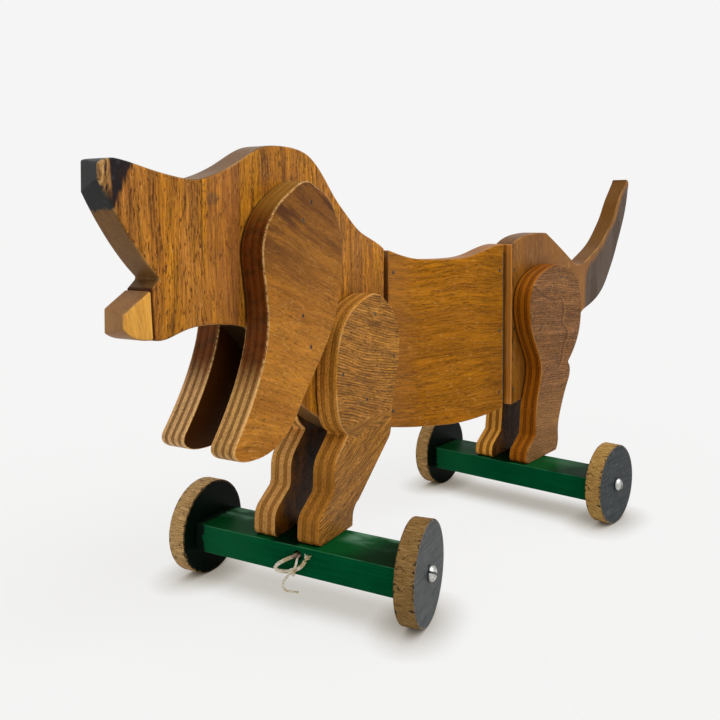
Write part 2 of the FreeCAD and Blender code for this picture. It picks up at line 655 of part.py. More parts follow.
# ---------------------------------------------------------------- ears and legs
LIMBS = [
    ("ear", ear_outline(), front_edge, right_ear_frame, None),
    ("front_leg", front_leg_outline(), front_axle, front_axle, "front_foot_nails"),
    ("rear_leg", rear_leg_outline(), rear_axle, rear_axle, "rear_foot_nails"),
]
for kind, outline, left_frame, right_frame, foot_nails in LIMBS:
    for side, near_side, section in (("left", outer, left_frame), ("right", -half_board, right_frame)):
        name = f"{side}_{kind}"
        blank = plate(name + "_blank", outline, "ply_thickness", near_side, section)
        tools = [parts[name + "_nails"]]
        if foot_nails:
            tools.append(parts[foot_nails])
        parts[name] = cut(name, blank, tools)

# ---------------------------------------------------------------- hinge strips
rear_strip_blank = strip("rear_strip_blank", rear_hinge, -size("rear_bend"))
rear_pins = group("rear_strip_pins", strip_pin,
                  side_places(middle_back, 1, half_board, middle_rear_spots)
                  + side_places(rear_edge, 1, half_board, tail_spots))
parts["rear_hinge_strip"] = cut("rear_hinge_strip", rear_strip_blank, [rear_pins])

front_strip_blank = strip("front_strip_blank", front_hinge, size("front_bend"))
front_pins = group("front_strip_pins", strip_pin,
                   side_places(middle_back, 1, half_board, middle_front_spots)
                   + side_places(front_edge, -1, half_board, head_nails))
parts["front_hinge_strip"] = cut("front_hinge_strip", front_strip_blank, [front_pins])

# ---------------------------------------------------------------- beams
string_hole = document.addObject("Part::Cylinder", "string_hole")
string_hole.setExpression("Radius", "Sizes.string_hole_radius")
string_hole.setExpression("Height", "Sizes.string_hole_depth + 1")
hole_x = size("beam_width") / 2 - size("string_hole_depth")
hole_z = front_beam_top - size("string_hole_drop")
string_hole.Placement = front_wheels * Placement(
    Vector(hole_x, size("string_hole_side"), hole_z), Rotation(Vector(0, 1, 0), 90))
front_blank = beam("front_beam_blank", size("sawn_skew"),
                   front_wheels * Placement(Vector(0, 0, front_beam_top - beam_height), Rotation()))
parts["front_beam"] = cut("front_beam", front_blank, [
    string_hole, parts["front_wheel_screws"], parts["front_foot_nails"]])
rear_blank = beam("rear_beam_blank", size("rear_sawn_skew"),
                  rear_wheels * Placement(Vector(0, 0, rear_beam_top - beam_height), Rotation()))
parts["rear_beam"] = cut("rear_beam", rear_blank, [parts["rear_wheel_screws"], parts["rear_foot_nails"]])

# ---------------------------------------------------------------- pull string
for name, strand, diameter in (("pull_string_loop", LOOP_STRAND, "string_diameter"),
                               ("pull_string_end", HANGING_STRAND, "string_end_diameter")):
    parts[name] = tube(name, string_points(strand), size(diameter) / 2, front_wheels)

# ---------------------------------------------------------------- checks and export
document.recompute()
for item in document.Objects:
    if "Invalid" in item.State or "Error" in item.State:
        raise RuntimeError(f"{item.Label} failed to recompute: {item.State}")
for name, part in parts.items():
    if part.Shape.isNull() or not part.Shape.isValid() or not part.Shape.Solids:
        raise RuntimeError(f"{name} has no valid solid")
os.makedirs("parts", exist_ok=True)
whole = FreeCAD.BoundBox()
for name, part in parts.items():
    part.Label = name
    part.Shape.exportStep(os.path.join("parts", name + ".step"))
    whole.add(part.Shape.BoundBox)
print(f"{len(parts)} sub-parts, box {whole}")
for label, hinge in (("front hinge", front_hinge), ("rear hinge", rear_hinge)):
    print(label, [round(value, 3) for value in hinge.Base])
for corner, place in hubs.items():
    axis = place.Rotation.multVec(Vector(0, 1, 0))
    print(corner, "hub", [round(value, 3) for value in place.Base], [round(value, 6) for value in axis])
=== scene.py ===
# %% [markdown]
# # A hand-made pull-along hound
# The toy is sawn from boards and plywood, nailed together, varnished, and set on two painted beams with
# wooden wheels.  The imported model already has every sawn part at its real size, so this lesson gives the
# parts their finish and adds what is soft: the bent strips in the hinges and the broken pull string.

# %% Load the model
import json
import math

import bpy
import numpy as np
from mathutils import Matrix, Vector


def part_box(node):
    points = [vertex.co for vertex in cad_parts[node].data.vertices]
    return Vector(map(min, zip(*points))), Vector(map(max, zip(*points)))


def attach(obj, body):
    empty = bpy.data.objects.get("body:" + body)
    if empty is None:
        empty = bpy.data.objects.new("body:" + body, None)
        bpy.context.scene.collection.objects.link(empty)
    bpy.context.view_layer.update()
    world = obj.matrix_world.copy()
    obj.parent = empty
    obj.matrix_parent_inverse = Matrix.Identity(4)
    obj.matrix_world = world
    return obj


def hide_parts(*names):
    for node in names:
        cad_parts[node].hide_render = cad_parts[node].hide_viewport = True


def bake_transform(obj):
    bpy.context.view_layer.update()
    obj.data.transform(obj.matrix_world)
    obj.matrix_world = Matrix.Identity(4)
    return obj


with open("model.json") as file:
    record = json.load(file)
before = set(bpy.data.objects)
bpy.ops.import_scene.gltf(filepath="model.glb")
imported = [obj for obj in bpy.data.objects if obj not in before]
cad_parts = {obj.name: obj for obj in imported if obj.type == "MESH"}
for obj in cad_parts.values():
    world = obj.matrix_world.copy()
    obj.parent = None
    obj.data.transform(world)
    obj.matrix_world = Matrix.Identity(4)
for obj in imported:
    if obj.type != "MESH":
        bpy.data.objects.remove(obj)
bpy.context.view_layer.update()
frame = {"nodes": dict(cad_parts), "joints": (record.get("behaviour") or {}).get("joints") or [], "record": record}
joints = {joint["name"]: joint for joint in frame["joints"]}
scene = bpy.context.scene
print("sub-parts:", len(frame["nodes"]), "joints:", sorted(joints))

# %% [markdown]
# ## Where the three sections stand
# Each section has a frame of its own with its origin on a hinge: x forward along the board, y across it to
# the left, z up from the floor.  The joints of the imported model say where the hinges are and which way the
# axles point, so nothing is measured twice.

# %% Section frames
MM = 0.001

# Sizes in a section's frame, in millimetres; a beam's middle is measured forward from the hinge.
HALF_BOARD = 8.0
PLY_SHEET = 16.0
WHEEL_RADIUS = 30.0
WHEEL_MIDDLE = 0.6 + 12.2 / 2  # out from the beam: a narrow gap and half the wheel's thickness
BEAM_END = -143.6 / 2  # the right one
BEAM_MIDDLE = {"head": 103.25, "tail": -17.25}


def yaw_of_axle(joint):
    """Angle of a section about the vertical: its axle is the y axis turned by that angle."""
    return math.atan2(-joint["axis"][0], joint["axis"][1])


front_hinge = Vector(joints["front_hinge"]["pos_m"])
rear_hinge = Vector(joints["rear_hinge"]["pos_m"])
front_hinge.z = rear_hinge.z = 0
between = front_hinge - rear_hinge
SECTIONS = {
    "head": (front_hinge, yaw_of_axle(joints["front_right_wheel_spin"])),
    "middle": (rear_hinge, math.atan2(between.y, between.x)),
    "tail": (rear_hinge, yaw_of_axle(joints["rear_right_wheel_spin"])),
}
for section, (origin, yaw) in SECTIONS.items():
    print(section, "origin", tuple(round(v, 4) for v in origin), "turned", round(math.degrees(yaw), 2))

# %% [markdown]
# ## The camera
# A hand-held camera a little above the toy's back, in front of it and to its left.  The lens is a normal
# one.  It looks almost level, so that upright edges stay upright, and its sensor is shifted to aim lower.

# %% Camera


def new_object(name, data):
    """An object that shows the data, linked to the scene."""
    made = bpy.data.objects.new(name, data)
    scene.collection.objects.link(made)
    return made


camera_data = bpy.data.cameras.new("camera")
camera_data.sensor_width = 36
camera_data.lens = 39.995
camera_data.shift_x = -0.0162
camera_data.shift_y = -0.1587
camera_data.clip_start = 0.01
camera = new_object("camera", camera_data)
scene.camera = camera
heading, dip = -2.480, 0.026
aim = Vector((math.cos(dip) * math.cos(heading), math.cos(dip) * math.sin(heading), -math.sin(dip)))
camera.location = (0.52693, 0.32438, 0.23066)
camera.rotation_mode = "QUATERNION"
camera.rotation_quaternion = aim.to_track_quat("-Z", "Y")
print("camera", round((camera.location - front_hinge).length, 3), "m from the front hinge")

# %% [markdown]
# ## The pull string
# What is left of the string is two short ends of twisted cotton.  They come out of a hole in the front
# beam; one makes a loop and crosses the other, where they are knotted, and both are frayed.  A route of a
# few points is smoothed by a NURBS spline, and three plies are wound round it.

# %% Routes of the two strands
# Points are millimetres from the hole's middle: x out of the beam's front face, y left, z up.
LOOP_ROUTE = [(-3.6, -1, 0.2), (2, -1.3, -0.1), (3.2, -4, -1.1), (3.6, -9.4, -4.2), (3.6, -13, -7),
              (3.6, -14, -9), (3.6, -12.3, -10.2), (3.8, -7.9, -9.8), (3.8, -2.9, -8.8),
              (3.8, 2.1, -6.6), (4.2, 6.6, -2.9), (4.2, 7.7, -0.5)]
END_ROUTE = [(-3.6, 1.2, 0.2), (2.5, 1.6, 0.3), (5, 2.5, -1.3), (5.8, 2.4, -3.7), (6, 0.4, -6.8),
             (5.9, -1.5, -9.3), (5, -4.9, -12.4), (5, -7.2, -15.6), (5, -7.6, -18.4),
             (5, -5.6, -20.3), (5, -2.1, -20.4), (5, 1.5, -19.7)]
hole = Vector([m for m in frame["record"]["mounts"] if m["name"] == "pull_string_hole"][0]["pos_m"])
head_yaw = SECTIONS["head"][1]


def from_hole(points):
    """Points measured from the string hole, in millimetres, as points of the whole model in metres."""
    turn = np.array(Matrix.Rotation(head_yaw, 3, "Z"))
    return np.asarray(points, float) * MM @ turn.T + np.array(hole)


def spline_curve(name, points):
    """A smooth NURBS curve that starts and ends on its first and last points."""
    curve = bpy.data.curves.new(name, "CURVE")
    curve.dimensions = "3D"
    curve.resolution_u = 16
    spline = curve.splines.new("NURBS")
    spline.points.add(len(points) - 1)
    spline.points.foreach_set("co", np.column_stack([points, np.ones(len(points))]).ravel())
    spline.order_u = 3
    spline.use_endpoint_u = True
    return curve


def line_of(curve):
    """The points that a curve without thickness runs through."""
    holder = new_object(curve.name + "_line", curve)
    bpy.context.view_layer.update()
    mesh = bpy.data.meshes.new_from_object(holder.evaluated_get(bpy.context.evaluated_depsgraph_get()))
    points = np.zeros(len(mesh.vertices) * 3)
    mesh.vertices.foreach_get("co", points)
    bpy.data.meshes.remove(mesh)
    bpy.data.objects.remove(holder)
    return points.reshape(-1, 3)


loop_line = line_of(spline_curve("loop_route", from_hole(LOOP_ROUTE)))
end_line = line_of(spline_curve("end_route", from_hole(END_ROUTE)))


def distances_along(line):
    """How far each point lies along the line: the sum of the steps between neighbouring points."""
    return np.concatenate([[0], np.cumsum(np.linalg.norm(np.diff(line, axis=0), axis=1))])


for strand, line in (("loop", loop_line), ("hanging", end_line)):
    print(strand, "strand", round(distances_along(line)[-1] / MM, 1), "mm")

# %% [markdown]
# ### Winding plies round a line
# A rope is a few tubes on helices round a common line.  Across the line we need two directions that turn
# as little as possible along it; the rotation that carries one tangent to the next carries them along.

# %% Tubes along a line


def resampled(line, step):
    """The same line with points at even distances of about step."""
    along = distances_along(line)
    count = max(4, int(round(along[-1] / step)) + 1)
    wanted = np.linspace(0, along[-1], count)
    return np.column_stack([np.interp(wanted, along, line[:, axis]) for axis in range(3)]), wanted


def tangents_along(line):
    """The line's direction at each of its points."""
    tangents = np.gradient(line, axis=0)
    return tangents / np.linalg.norm(tangents, axis=1)[:, None]


def frames_along(line):
    """Unit tangents and two directions across them, carried along the line with the least turning."""
    tangents = tangents_along(line)
    across = np.zeros_like(line)
    start = np.cross(tangents[0], (0.3, 0.2, 0.93))
    across[0] = start / np.linalg.norm(start)
    for i in range(1, len(line)):
        carried = across[i - 1] - tangents[i] * (across[i - 1] @ tangents[i])
        across[i] = carried / np.linalg.norm(carried)
    return tangents, across, np.cross(tangents, across)


def tube_grid(line, radii, sides):
    """Grid of points: line(u) + radius(u) * (cos v * across + sin v * other), v once round."""
    _, across, other = frames_along(line)
    turn = np.linspace(0, 2 * np.pi, sides, endpoint=False)
    ring = np.cos(turn)[None, :, None] * across[:, None] + np.sin(turn)[None, :, None] * other[:, None]
    return line[:, None] + np.asarray(radii)[:, None, None] * ring


def wound_quads(rows, sides):
    """Quads of a grid of rows by sides points that is closed round its sides."""
    i, j = np.meshgrid(np.arange(rows - 1), np.arange(sides), indexing="ij")
    k = (j + 1) % sides
    quads = np.stack([i * sides + j, i * sides + k, (i + 1) * sides + k, (i + 1) * sides + j], -1)
    return quads.reshape(-1, 4)


def tube_faces(rows, sides, offset):
    """Quads of a tube's grid, with a fan of triangles to a middle point at both ends."""
    quads = wound_quads(rows, sides) + offset
    ring = np.arange(sides)
    after = (ring + 1) % sides
    first = np.full(sides, rows * sides)
    last = first + 1
    start = np.stack([first, after, ring], -1) + offset
    top = (rows - 1) * sides
    end = np.stack([last, top + ring, top + after], -1) + offset
    return quads.tolist() + start.tolist() + end.tolist()


def tubes_mesh(name, tubes):
    """One mesh of several tubes: each is (line, radii, sides)."""
    points, faces, offset = [], [], 0
    for line, radii, sides in tubes:
        grid = tube_grid(line, radii, sides)
        points += [grid.reshape(-1, 3), line[:1], line[-1:]]
        faces += tube_faces(len(line), sides, offset)
        offset += len(line) * sides + 2
    mesh = bpy.data.meshes.new(name)
    mesh.from_pydata(np.concatenate(points), [], faces)
    mesh.polygons.foreach_set("use_smooth", np.ones(len(mesh.polygons), bool))
    mesh.update()
    return mesh


def ply_lines(line, radius, lay, plies):
    """Helices round a line: offset radius * (cos a, sin a) across it, a growing by one turn per lay."""
    _, across, other = frames_along(line)
    along = distances_along(line)
    lines = []
    for ply in range(plies):
        angle = 2 * np.pi * (along / lay + ply / plies)
        lines.append(line + radius * (np.cos(angle)[:, None] * across + np.sin(angle)[:, None] * other))
    return lines


def twisted_string(name, line, diameter, lay, taper=1.0):
    """Three plies wound on a line; taper is the last share of the thickness at the far end."""
    fine, along = resampled(line, diameter * 0.16)
    share = along / along[-1]
    thickness = np.interp(share, [0, 0.55, 1], [1, 1, taper])
    tubes = [(ply, 0.31 * diameter * thickness, 10)
             for ply in ply_lines(fine, 0.27 * diameter, lay, 3)]
    piece = new_object(name, tubes_mesh(name, tubes))
    print(name, len(piece.data.polygons), "faces,", round(along[-1] * 1000, 1), "mm")
    return piece, fine


# %% The two strands
STRING = 2.1 * MM
THIN_END = 1.3 * MM
loop_piece, loop_path = twisted_string("string_loop", loop_line, STRING, 6.0 * MM)
end_piece, end_path = twisted_string("string_hanging_end", end_line, THIN_END, 4.0 * MM, taper=0.8)

# %% [markdown]
# ### Knot and fray
# The knot is an overhand knot, which is the curve called a trefoil.  The cut ends open into fibres: thin
# tubes that start together and spread out, each with its own bend.

# %% Knot
knot_middle = from_hole([(4.9, -0.6, -8.2)])[0]
around = np.linspace(0, 2 * np.pi, 121)[:-1]
trefoil = np.column_stack([
    np.sin(around) + 2 * np.sin(2 * around),
    np.cos(around) - 2 * np.cos(2 * around),
    -np.sin(3 * around),
]) * 0.66 * MM
knot_turn = np.array(Matrix.Rotation(head_yaw, 3, "Z") @ Matrix.Rotation(math.radians(90), 3, "Y"))
knot_line = trefoil @ knot_turn.T + knot_middle
knot_line = np.concatenate([knot_line, knot_line[:1]])
knot_radii = np.full(len(knot_line), 0.25 * STRING)
knot_plies = ply_lines(knot_line, 0.2 * STRING, 5 * MM, 3)
knot_mesh = tubes_mesh("string_knot", [(ply, knot_radii, 9) for ply in knot_plies])
knot = new_object("string_knot", knot_mesh)
print("knot", [round(v * 1000, 1) for v in knot.dimensions], "mm")

# %% Fray
chance = np.random.default_rng(7)


def fray(name, path, length, count, spread, thickness):
    """Fibres: start + direction * t + side * spread * t^1.6, each with its own side and a slow wave."""
    start, direction = path[-1], path[-1] - path[-6]
    direction = direction / np.linalg.norm(direction)
    t = np.linspace(0, 1, 14)
    tubes = []
    for _ in range(count):
        side = chance.normal(size=3)
        side -= direction * (side @ direction)
        reach = length * chance.uniform(0.6, 1.0)
        wave = 0.06 * length * np.sin(t * chance.uniform(3, 7) + chance.uniform(0, 6))[:, None]
        line = (start + direction * (reach * t)[:, None] + side * (spread * t ** 1.6)[:, None]
                + wave * np.cross(direction, side) * t[:, None])
        tubes.append((line, thickness * np.interp(t, [0, 0.8, 1], [1, 0.8, 0.3]), 5))
    return new_object(name, tubes_mesh(name, tubes))


loop_fray = fray("string_loop_fray", loop_path, 4.6 * MM, 34, 1.0 * MM, 0.24 * MM)
end_fray = fray("string_end_fray", end_path, 2.6 * MM, 12, 0.45 * MM, 0.2 * MM)
string_pieces = [loop_piece, end_piece, knot, loop_fray, end_fray]
for piece in string_pieces:
    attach(piece, "head_section")
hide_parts("pull_string_loop")
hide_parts("pull_string_end")
print("fibres", sum(len(p.data.polygons) for p in (loop_fray, end_fray)), "faces")

# %% [markdown]
# ## Materials
# ### A few shorthands
# A node tree is wired with two small helpers.  A Tree makes nodes and fills their inputs.  A Value is what a
# node gives: a sum with it makes a Math node, and its methods are the steps that come up again and again,
# so that a mask reads like its formula.

# %% Node helpers


class Value:
    """What one output of a node gives, with plain arithmetic."""

    def __init__(self, tree, socket):
        self.tree = tree
        self.socket = socket

    def math(self, operation, *others):
        """A Math node's result."""
        return self.tree.math(operation, self, *others)

    def __abs__(self):
        return self.math("ABSOLUTE")

    def step(self, low, high):
        """0 below low and 1 above high, with a soft step between; low may be above high."""
        ends = {0: self, 1: low, 2: high, 3: 0, 4: 1}
        return self.tree.read("MapRange", ends, interpolation_type="SMOOTHSTEP")

    def within(self, low, high, soft):
        """1 between low and high, falling to 0 over the soft distance outside them."""
        return self.step(low - soft, low) * self.step(high + soft, high)

    def hairline(self, width):
        """1 where the value is 0, falling to 0 at a width from there."""
        return abs(self).step(width, width * 0.3)

    def curve(self, spots, low, high):
        """A smooth curve through spots (value, height); low and high are the ends of its two scales."""
        share = self.tree.read("MapRange", {0: self, 1: low[0], 2: high[0], 3: 0, 4: 1})
        made = self.tree.add("FloatCurve", {1: share})
        line = made.mapping.curves[0]
        places = [((a - low[0]) / (high[0] - low[0]), (b - low[1]) / (high[1] - low[1])) for a, b in spots]
        line.points[0].location, line.points[1].location = places[0], places[-1]
        for place in places[1:-1]:
            line.points.new(*place)
        made.mapping.update()
        height = Value(self.tree, made.outputs[0])
        return self.tree.read("MapRange", {0: height, 1: 0, 2: 1, 3: low[1], 4: high[1]})

    def blend(self, first, second):
        """Two values mixed: the first where this one is 0, the second where it is 1."""
        return self.tree.read("Mix", {0: self, 2: first, 3: second}, data_type="FLOAT")

    def mix(self, first, second):
        """Two colours mixed: the first where this value is 0, the second where it is 1."""
        return self.tree.read("Mix", {0: self, 6: first, 7: second}, 2, data_type="RGBA")

    def coat(self, over, share, *others):
        """This colour under another, which is as thick as the product of the shares."""
        for other in others:
            share = share * other
        return share.mix(self, over)

    def tinted(self, tint):
        """This colour times another."""
        return self.tree.read("Mix", {0: 1, 6: self, 7: tint}, 2, data_type="RGBA", blend_type="MULTIPLY")

    def noise(self, scale=1, detail=2, roughness=0.5, offset=0):
        """Noise from 0 to 1; scale is one number, or one for each axis; offset moves the pattern."""
        place = self
        if isinstance(scale, tuple):
            place, scale = self.stretch(scale), 1
        if offset:
            place = place.moved((offset, offset * 1.7, offset * 0.6))
        return self.tree.read("TexNoise", {"Vector": place, "Scale": scale, "Detail": detail,
                                           "Roughness": roughness}, "Fac")

    def moved(self, step):
        """This vector plus another."""
        return self.tree.read("VectorMath", {0: self, 1: step})

    def stretch(self, scale):
        """This vector times a scale for each axis."""
        return self.tree.read("VectorMath", {0: self, 1: scale}, operation="MULTIPLY")

    def turn(self, angle, axis="Z_AXIS"):
        """This vector turned about an axis."""
        return self.tree.read("VectorRotate", {"Vector": self, "Angle": angle}, rotation_type=axis)

    def split(self):
        """The three parts of this vector."""
        parts = self.tree.add("SeparateXYZ", {0: self}).outputs
        return [Value(self.tree, part) for part in parts]


def arithmetic(operation, turned):
    """What a sign of arithmetic does with a value and another one; turned, the other one comes first."""
    def result(value, other):
        pair = (other, value) if turned else (value, other)
        return value.tree.math(operation, *pair)
    return result


for word, operation in (("add", "ADD"), ("sub", "SUBTRACT"), ("mul", "MULTIPLY"), ("truediv", "DIVIDE")):
    setattr(Value, "__" + word + "__", arithmetic(operation, False))
    setattr(Value, "__r" + word + "__", arithmetic(operation, True))


class Tree:
    """A node tree with short calls for adding nodes."""

    def __init__(self, tree):
        self.tree = tree

    def feed(self, value, socket):
        """A value or a number into a socket."""
        if isinstance(value, Value):
            self.tree.links.new(value.socket, socket)
        else:
            socket.default_value = value

    def fill(self, node, inputs):
        """Values or numbers into a node's inputs, by name or place."""
        for key, value in inputs.items():
            self.feed(value, node.inputs[key])

    def add(self, kind, inputs=None, **settings):
        """A new node with its inputs filled."""
        made = self.tree.nodes.new("ShaderNode" + kind)
        for name, value in settings.items():
            setattr(made, name, value)
        self.fill(made, inputs or {})
        return made

    def read(self, kind, inputs=None, output=0, **settings):
        """What one output of a new node gives."""
        return Value(self, self.add(kind, inputs, **settings).outputs[output])

    def group(self, group, inputs):
        """What a group gives, by name."""
        made = self.add("Group", inputs, node_tree=group)
        return {output.name: Value(self, output) for output in made.outputs}

    def math(self, operation, *values):
        """A Math node's result."""
        return self.read("Math", dict(enumerate(values)), operation=operation)

    def join(self, x, y, z):
        """A vector of three parts."""
        return self.read("CombineXYZ", {0: x, 1: y, 2: z})


def new_group(name, inputs, outputs):
    """A shader node group; inputs are defaults by name: numbers, vectors of 3 or colours of 4 parts."""
    group = bpy.data.node_groups.new(name, "ShaderNodeTree")
    for label, default in inputs.items():
        kind = {1: "Float", 3: "Vector", 4: "Color"}[np.size(default)]
        socket = group.interface.new_socket(name=label, in_out="INPUT", socket_type="NodeSocket" + kind)
        socket.default_value = default
    for label in outputs:
        kind = "Color" if label == "Color" else "Float"
        group.interface.new_socket(name=label, in_out="OUTPUT", socket_type="NodeSocket" + kind)
    tree = Tree(group)
    source = group.nodes.new("NodeGroupInput")
    given = {label: Value(tree, source.outputs[label]) for label in inputs}
    return group, tree, given, group.nodes.new("NodeGroupOutput")


def rgb(*shown):
    """A colour as it looks on a screen, from 0 to 255, as the linear colour that shaders use."""
    shares = [part / 255 for part in shown]
    return (*[part / 12.92 if part <= 0.0404 else ((part + 0.055) / 1.055) ** 2.4 for part in shares], 1.0)


# %% [markdown]
# ### Wood grain
# Timber is long cells lying side by side.  Noise that is stretched along the grain gives broad bands of
# colour, finer noise gives the fibres, and thresholded noise gives the open pores, which are short dark
# dashes, and the pale flecks between them, which are partly a painted sheen of the varnish.  A slow
# wobble keeps the grain from running dead straight.
# A coarse saw leaves ridges along the grain, which a wave with uneven spacing draws.

# %% Group: timber_grain
WHITE, BLACK = (1, 1, 1, 1), (0, 0, 0, 1)
timber_grain, tree, given, result = new_group(
    "timber_grain",
    {"Vector": (0, 0, 0), "Pale": WHITE, "Deep": BLACK, "Flush": BLACK, "Pore": BLACK, "Band": 0.07,
     "Flush share": 0.5, "Pore share": 0.5, "Pore length": 6.0, "Fibre": 0.5, "Ridges": 0.0,
     "Ridge spacing": 2.0}, ("Color", "Height"))
wobble = given["Vector"].noise((0.006, 0.012, 0.012), detail=2)
sway = (wobble - 0.5) * 26
grain = given["Vector"].moved(tree.join(0, 0, sway))
x, y, z = grain.split()
banded = tree.join(x * 0.004, y * 0.02, z * given["Band"])
bands = banded.noise(detail=4, roughness=0.6).step(0.36, 0.64)
flushes = grain.noise((0.009, 0.02, 0.05), detail=5, roughness=0.65, offset=31).step(0.44, 0.64)
fibres = grain.noise((0.05, 0.5, 0.8), detail=5, roughness=0.85)
dashes = tree.join(x / given["Pore length"], y * 0.9, z * 1.15)
pores = dashes.noise(detail=2.5, roughness=0.6, offset=9).step(0.54, 0.66)
# Pale flecks between the pores, partly a painted sheen of the varnish.
flecks_and_sheen = dashes.noise(detail=2.5, roughness=0.6, offset=57).step(0.56, 0.7)
waviness = {"Vector": grain.stretch((0.2, 0.2, 1)), "Scale": 0.314 / given["Ridge spacing"],
            "Distortion": 2.6, "Detail": 2, "Detail Scale": 1.4}
wave = tree.read("TexWave", waviness, "Fac", bands_direction="Z")
broken = grain.noise((0.04, 0.04, 0.1), detail=3, offset=71).step(0.25, 0.55)
ridges = wave.step(0.35, 0.95) * broken * given["Ridges"]
colour = bands.mix(given["Deep"], given["Pale"])
colour = colour.coat(given["Flush"], flushes, given["Flush share"])
strands = grain.noise((0.02, 0.2, 0.34), detail=3, roughness=0.65, offset=83)
uneven = (fibres - 0.5) * 2.6 + (strands - 0.5) * 1.3
shade = (1 + uneven * given["Fibre"]) * (1 - ridges * 0.5)
colour = colour.tinted(tree.join(shade, shade, shade))
colour = colour.coat(rgb(222, 166, 92), flecks_and_sheen, 0.34)
colour = colour.coat(given["Pore"], pores, given["Pore share"])
tree.fill(result, {"Color": colour, "Height": fibres * 0.6 - pores * 0.5 - ridges})
print("timber_grain:", len(timber_grain.nodes), "nodes")

# %% [markdown]
# ### Sawn edges
# Plywood is an odd number of thin plies glued crosswise.  On a sawn edge every other ply shows its end
# grain, which drinks varnish and goes dark and speckled, and a thin dark glue line lies between two plies.
# The edge of a solid board has no plies: with no contrast the same group gives its plain fibrous edge.

# %% Group: ply_edge
ply_edge, tree, given, result = new_group(
    "ply_edge",
    {"Vector": (0, 0, 0), "Middle": 0.0, "Thickness": PLY_SHEET, "Plies": 5.0, "Long grain": WHITE,
     "End grain": BLACK, "Glue": BLACK, "Contrast": 1.0, "Speckle": 0.5}, ("Color", "Height"))
place = given["Vector"]
_, y, _ = place.split()
drift = place.noise((0.03, 0.05, 0.03), detail=3)
across = (y - given["Middle"]) / given["Thickness"] + (drift - 0.5) * 0.05
count = (across + 0.5) * given["Plies"]
pair = count.math("MODULO", 2)
odd = pair.math("LESS_THAN", 1.25)
from_glue = pair.math("MINIMUM", 2 - pair)
from_glue = from_glue.math("MINIMUM", abs(pair - 1.25))
glue = from_glue.step(0.16, 0.04)
streaks = place.noise((0.1, 1.5, 0.1), detail=4, roughness=0.65)
specks = place.noise((0.7, 1.1, 0.7), detail=3, roughness=0.7, offset=4)
cloud = place.noise((0.05, 0.1, 0.05), detail=3, offset=19)
end_share = (1 - odd) * given["Contrast"]
colour = end_share.mix(given["Long grain"], given["End grain"])
speckled = (specks - 0.5) * (given["Speckle"] * 2.4)
shade = 0.4 + (streaks * 0.7 + cloud * 0.5) + speckled
colour = colour.tinted(tree.join(shade, shade, shade))
colour = colour.coat(given["Glue"], glue, given["Contrast"] * 0.5)
tree.fill(result, {"Color": colour, "Height": streaks + specks - glue * given["Contrast"]})
print("ply_edge:", len(ply_edge.nodes), "nodes")

# %% [markdown]
# ### Which side am I on?
# The flat side of a board, its sawn edge and the rounded arris between them are told apart by the
# direction of the surface, read in the board's own frame.

# %% Group: board_sides
board_sides, tree, given, result = new_group("board_sides", {"Turned": 0.0}, ("Flat", "Arris"))
facing = tree.read("TexCoord", output="Normal")
_, sideways, _ = facing.turn(given["Turned"] * -1).split()
side = abs(sideways)
tree.fill(result, {"Flat": side.step(0.62, 0.9), "Arris": side.step(0.05, 0.4) * side.step(0.995, 0.8)})

# %% [markdown]
# ### Scuffs
# Handling leaves pale scratches and rubbed spots in old varnish, more of them on arrises.  The mask is
# stretched noise cut off high, so that it is mostly nothing with a few marks.

# %% Group: handling_marks
handling_marks, tree, given, result = new_group(
    "handling_marks", {"Vector": (0, 0, 0), "Amount": 0.5}, ("Marks", "Cloud"))
fine = given["Vector"].noise((0.35, 0.35, 0.8), detail=4, roughness=0.7, offset=3)
patch = given["Vector"].noise(0.035, detail=3, offset=12)
marks = fine.step(0.56, 0.72) * patch.step(0.42, 0.62)
tree.fill(result, {"Marks": marks * given["Amount"], "Cloud": patch})
print("board_sides and handling_marks:", len(board_sides.nodes) + len(handling_marks.nodes), "nodes")

# %% Frames inside a material


def section_vector(tree, section):
    """Millimetres in a section's frame: x forward, y across to the left, z up from the floor."""
    origin, yaw = SECTIONS[section]
    return frame_vector(tree, origin, yaw)


def frame_vector(tree, origin, yaw):
    """Object coordinates carried into a frame that stands at origin, turned by yaw, in millimetres."""
    frame_of = {"Vector": tree.read("TexCoord", output="Object"), "Location": tuple(origin),
                "Rotation": (0, 0, yaw), "Scale": (MM, MM, MM)}
    return tree.read("Mapping", frame_of, vector_type="TEXTURE")


def millimetres(tree):
    """Object coordinates in millimetres."""
    return tree.read("TexCoord", output="Object").stretch((1 / MM, 1 / MM, 1 / MM))


def new_material(name):
    """A material with a Principled surface: its tree, its Principled node."""
    material = bpy.data.materials.new(name)
    material.use_nodes = True
    tree = Tree(material.node_tree)
    return material, tree, material.node_tree.nodes["Principled BSDF"]


def bump(tree, height, depth):
    """A surface's direction with relief of that depth, in millimetres."""
    return tree.read("Bump", {"Height": height, "Distance": depth * MM, "Strength": 1})


# %% [markdown]
# ### Varnished boards
# Every sawn part shares one recipe: grain on its flat sides, its sawn edge, arrises rubbed pale with a
# painted highlight, pale marks and a satin varnish.  Varnish on old wood reflects warmly and weakly, so its
# specular level is low and tinted.
# Grain direction, colours and plies are given for each part, and paint, stain and painted light and
# shade are laid over the colour.

# %% Recipe for sawn parts


def tilted(degrees, shift=0.0):
    """Straight grain, tilted from x towards z; shift moves it, so that no two parts match."""
    def direction(local):
        return local.moved((shift, 0, shift * 0.7)).turn(math.radians(degrees), "Y_AXIS")
    return direction


